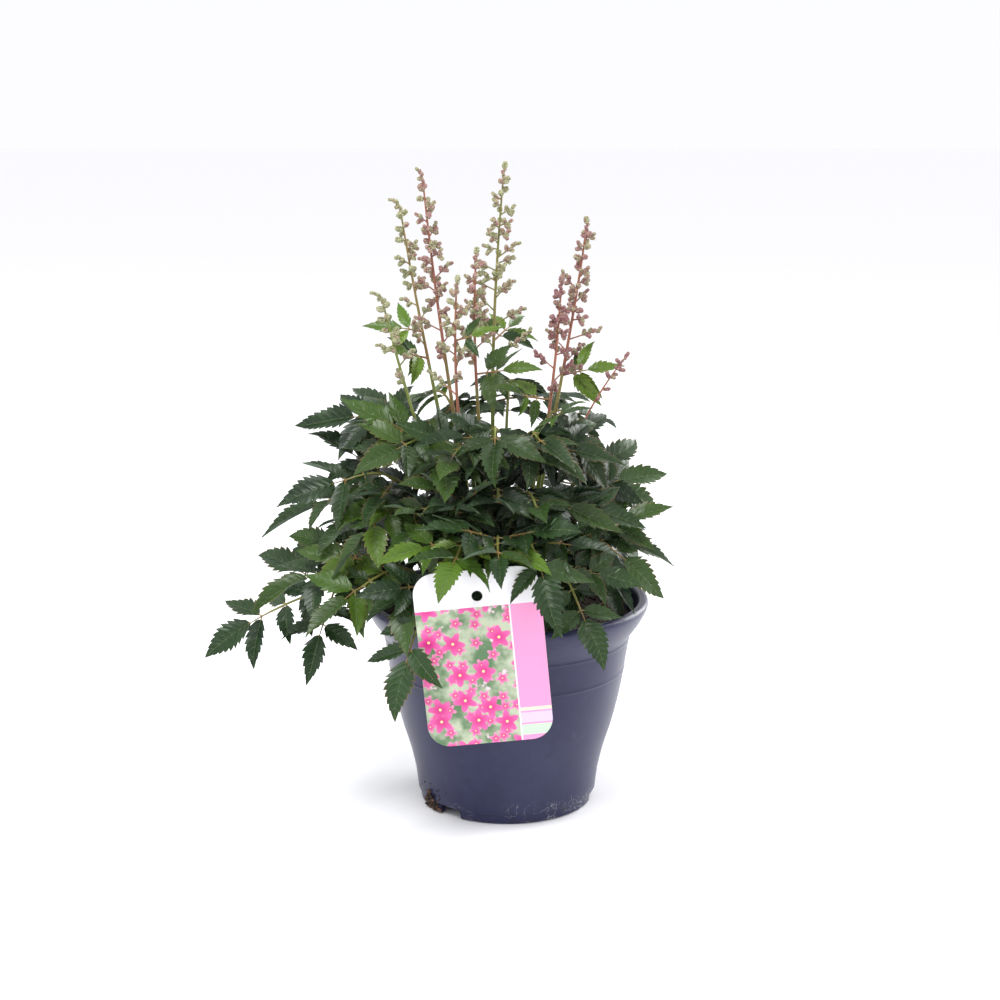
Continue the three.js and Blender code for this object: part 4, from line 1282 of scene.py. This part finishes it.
def grow_finger(growth, draw, start, dir_, length, width, tint):
    """Ovals crowded along a line and turned out to all sides, which makes a lumpy finger."""
    side = dir_.cross(CLUSTER_SIDE).normalized()
    count = max(1, round(length / 2.1))
    if count < 3:
        grow_cluster(growth, draw, start, dir_, length, width, tint)
        return
    for i in range(count):
        share = i / (count - 1)
        size = width * (0.92 - 0.2 * share + 0.1 * draw())
        out = Quaternion(dir_, 2.3 * i + 0.5 * draw()) @ side
        own = (dir_ * (0.55 + 1.6 * share * share) + out).normalized()
        spot = start + dir_ * (share * (length - size)) - own * 0.3
        grow_cluster(growth, draw, spot, own, 1.15 * size, 0.85 * size, tint)


def branch_plans(path, row, index):
    """Where the side branches of a spray start, and how far each would reach if nothing stood in its way."""
    draw = draws(501 + index)
    head, longest = row[8], row[9]
    count = math.floor(head / BRANCH_SPACING + 0.5)
    head_from = 1 - head / path.length()
    plans = []
    for i in range(count):
        share = i / (count - 1)
        along = head_from + (1 - head_from) * share
        azimuth = i * 2.4 + 0.6 * draw()
        rise = 0.4 + 0.6 * draw() + (2 if share > TOP_SHARE else 0)
        length = 6.4 + longest * (1 - share) * (0.6 + 0.6 * draw())
        plans.append({"base": on_tube(path, along, SPRAY_STEPS), "frame": frame_on(path, along),
                      "azimuth": azimuth, "rise": rise, "length": length, "share": share, "along": along})
    return plans


def branch_end(plan, attempt):
    """Direction and length of a side branch once it is turned by one of the tries."""
    turn, share = attempt
    dir_, up = plan["frame"]
    side = turned(dir_.cross(up), dir_, plan["azimuth"] + turn)
    length = plan["length"] * share
    beaded = max(1, math.floor(BEADED_SHARE * length / BUD_SPACING + 0.5)) * BUD_SPACING
    return (side + dir_ * plan["rise"]).normalized(), max(length, beaded)


def found_branch(corners, plan):
    """Direction and length of a side branch as it stands in the solid, or None if it has none there."""
    for attempt in BRANCH_TRIES:
        dir_, reach = branch_end(plan, attempt)
        if has_corners(corners, [plan["base"] + dir_ * reach]):
            return dir_, reach
    return None


def stem_leaf_group(path, row, index):
    """The twig and leaflets of a leaf on a flower stem."""
    _, along, azimuth, rise, twig, size = row
    draw = draws(301 + index)
    level = turned(Vector((0, 1, 0)), Vector((1, 0, 0)), math.radians(rise))
    dir_ = turned(level, UP, math.radians(azimuth - 90))
    across = dir_.cross(UP).normalized()
    roll = 1.6 * FACING_FRONT * math.cos(math.radians(azimuth))
    dir_, up = turned_frame(dir_, across.cross(dir_), 0, 0, roll)
    return {"from": on_tube(path, along, SPRAY_STEPS), "dir": dir_, "up": up, "reach": twig,
            "blades": leaflet_three(draw, size, 1, False)}


def spray_path(row):
    """The flower stem's curve, from its foot in the soil by its waist to its tip."""
    foot_x, foot_y, waist_x, waist_y, waist_z, tip_x, tip_y, tip_z = row[:8]
    foot = Vector((foot_x, foot_y, soil_height(foot_x, foot_y) - ROOT_DEPTH))
    waist = Vector((waist_x, waist_y, waist_z))
    middle = foot.lerp(waist, 0.5)
    middle.x = foot_x + 0.35 * (waist_x - foot_x)
    return Bezier(foot, middle, waist, Vector((tip_x, tip_y, tip_z)))


def grow_branch(growth, draw, base, dir_, reach, look):
    """A thin stalk that carries buds: one oval when short, else a lumpy finger, with ovals off its sides."""
    finger = min(reach - 1.0, 4.0 + 0.5 * max(0.0, reach - 6))
    width = look["slim"] * (3.6 + 0.4 * draw())
    grow_finger(growth, draw, base + dir_ * (reach - finger - 1.0), dir_, finger, width, look["tint"])
    stalk = [base, base + dir_ * (0.5 * reach), base + dir_ * (reach - 0.6 * finger)]
    grow_tube(growth, stalk, [0.55, 0.45, 0.36], 5, 0, (look["red"], draw(), 0.0))
    if reach <= 9:
        return
    side = dir_.cross(UP).normalized()
    place = reach - finger - 0.6
    turn = 1
    while place > (0.34 if reach < 15 else 0.5) * reach:
        out = Quaternion(dir_, turn * math.pi / 2 + 0.9 * (draw() - 0.5)) @ side
        own = (dir_ * 0.45 + out).normalized()
        twig = 0.5 + 1.4 * draw()
        spot = base + dir_ * place
        grow_tube(growth, [spot, spot + own * (twig + 0.6)], [0.32, 0.3], 4, 0, (look["red"], draw(), 0.0))
        length, thick = 3.2 + 1.3 * draw(), 2.9 + 0.4 * draw()
        grow_cluster(growth, draw, spot + own * twig, own, length, thick, look["tint"])
        place -= 1.7
        turn = -turn


def grow_stem(growth, draw, path, look):
    """The stem is green at its foot and reddens upwards, in four lengths that run into each other."""
    rings = 25
    line = path.line(rings)
    radii = [look["slim"] * (2.15 - 1.55 * i / (rings - 1)) for i in range(rings)]
    for start, end in ((0, 9), (8, 13), (12, 17), (16, 25)):
        share = (start + end) / 2 / rings
        redness = look["red"] * min(1, max(0.15, 3.4 * (share - 0.42)))
        grow_tube(growth, line[start:end], radii[start:end], 8, 0, (redness, 0.3 + 0.3 * draw(), 0.0))


def grow_between(growth, draw, path, plan, step, longest, look):
    """Two shorter branches between this one and the next, which is a step further along the stem."""
    for part, aside in ((0.33, 1.7), (0.66, 3.6)):
        along = min(1, plan["along"] + part * step)
        dir_, up = frame_on(path, along)
        side = turned(dir_.cross(up), dir_, plan["azimuth"] + aside)
        own = (side + dir_ * (0.15 + 0.5 * draw())).normalized()
        reach = 5.2 + longest * (1 - plan["share"]) ** 1.2 * draw()
        end = path.at(along) + own * reach
        # none at the very tip, and none that would stick out at the top
        if along < 0.985 and end.z < CAD_HIGH.z / MM - 3:
            grow_branch(growth, draw, path.at(along), own, reach, look)


def grow_top(growth, draw, path, lean, look):
    """The topmost buds are still crowded into one finger, whose upper half leans over on some."""
    dir_ = path.tangent(1)
    foot = path.at(1) - dir_ * 8.0
    mauve, dark = look["tint"]
    if lean:
        grow_finger(growth, draw, foot, dir_, 8.5, 3.3, (mauve, dark))
        over = turned(dir_, Vector((0, 1, 0)), -lean)
        grow_finger(growth, draw, path.at(1) - dir_ * 0.6, over, 8.5, 3.3, (mauve, dark))
    else:
        grow_finger(growth, draw, foot, dir_, 9.6, 3.3 * look["slim"], (mauve + 0.2, dark))


def make_spray(row, index):
    """A flower stem with the side branches and leaves of its solid, and shorter branches between them."""
    name = f"spray_{index + 1:02d}"
    corners = corners_of(name)
    path = spray_path(row)
    longest = row[9]
    red, mauve, dark = SPRAY_TINTS[index]
    look = {"red": red, "tint": (mauve, dark), "slim": 1.0 if longest > 5 else 0.68}
    lean = TOP_LEANS.get(index, 0.0)
    draw = draws(1301 + index)
    growth = Growth()
    grow_stem(growth, draw, path, look)
    plans = branch_plans(path, row, index)
    step = (1 - plans[0]["along"]) / len(plans)
    for plan in plans:
        found = found_branch(corners, plan)
        if found and not (lean and plan["share"] > TOP_SHARE):
            grow_branch(growth, draw, plan["base"], *found, look)
        # none low down, where the stem shows
        if plan["share"] > 0.3:
            grow_between(growth, draw, path, plan, step, longest, look)
    grow_top(growth, draw, path, lean, look)
    for row_index, leaf_row in enumerate(STEM_LEAF_ROWS):
        if leaf_row[0] == index:
            group = found_group(corners, stem_leaf_group(path, leaf_row, row_index))
            if group:
                grow_stem_leaf(growth, group, draw)
    piece = growth.make(f"flower_{name}", [STALK, BUD, LEAF], 80)
    dress(piece, "flower_bud", name)


def grow_stem_leaf(growth, group, draw):
    """A leaf on a flower stem: younger, narrower and brighter than those of the mound."""
    own = Growth()
    group["leaves"] = [{**leaf, "narrow": 0.78} for leaf in group["leaves"]]
    grow_group(own, group, draw, 0.35 + 0.35 * draw(), 0.6)
    # its blades take the spray's third finish and its stalks the first
    growth.take(own, {0: 2, 1: 0})


# ---- Put together ----
set_camera()
set_studio()
pot = make_pot()
make_soil()
make_crumbs()
make_foot_clump()
label = make_label()
BARRIERS.extend(tree_of(piece) for piece in (pot, label))
for number, frond_row in enumerate(FROND_ROWS):
    make_frond(frond_row, number)
for number, spray_row in enumerate(SPRAY_ROWS):
    make_spray(spray_row, number)
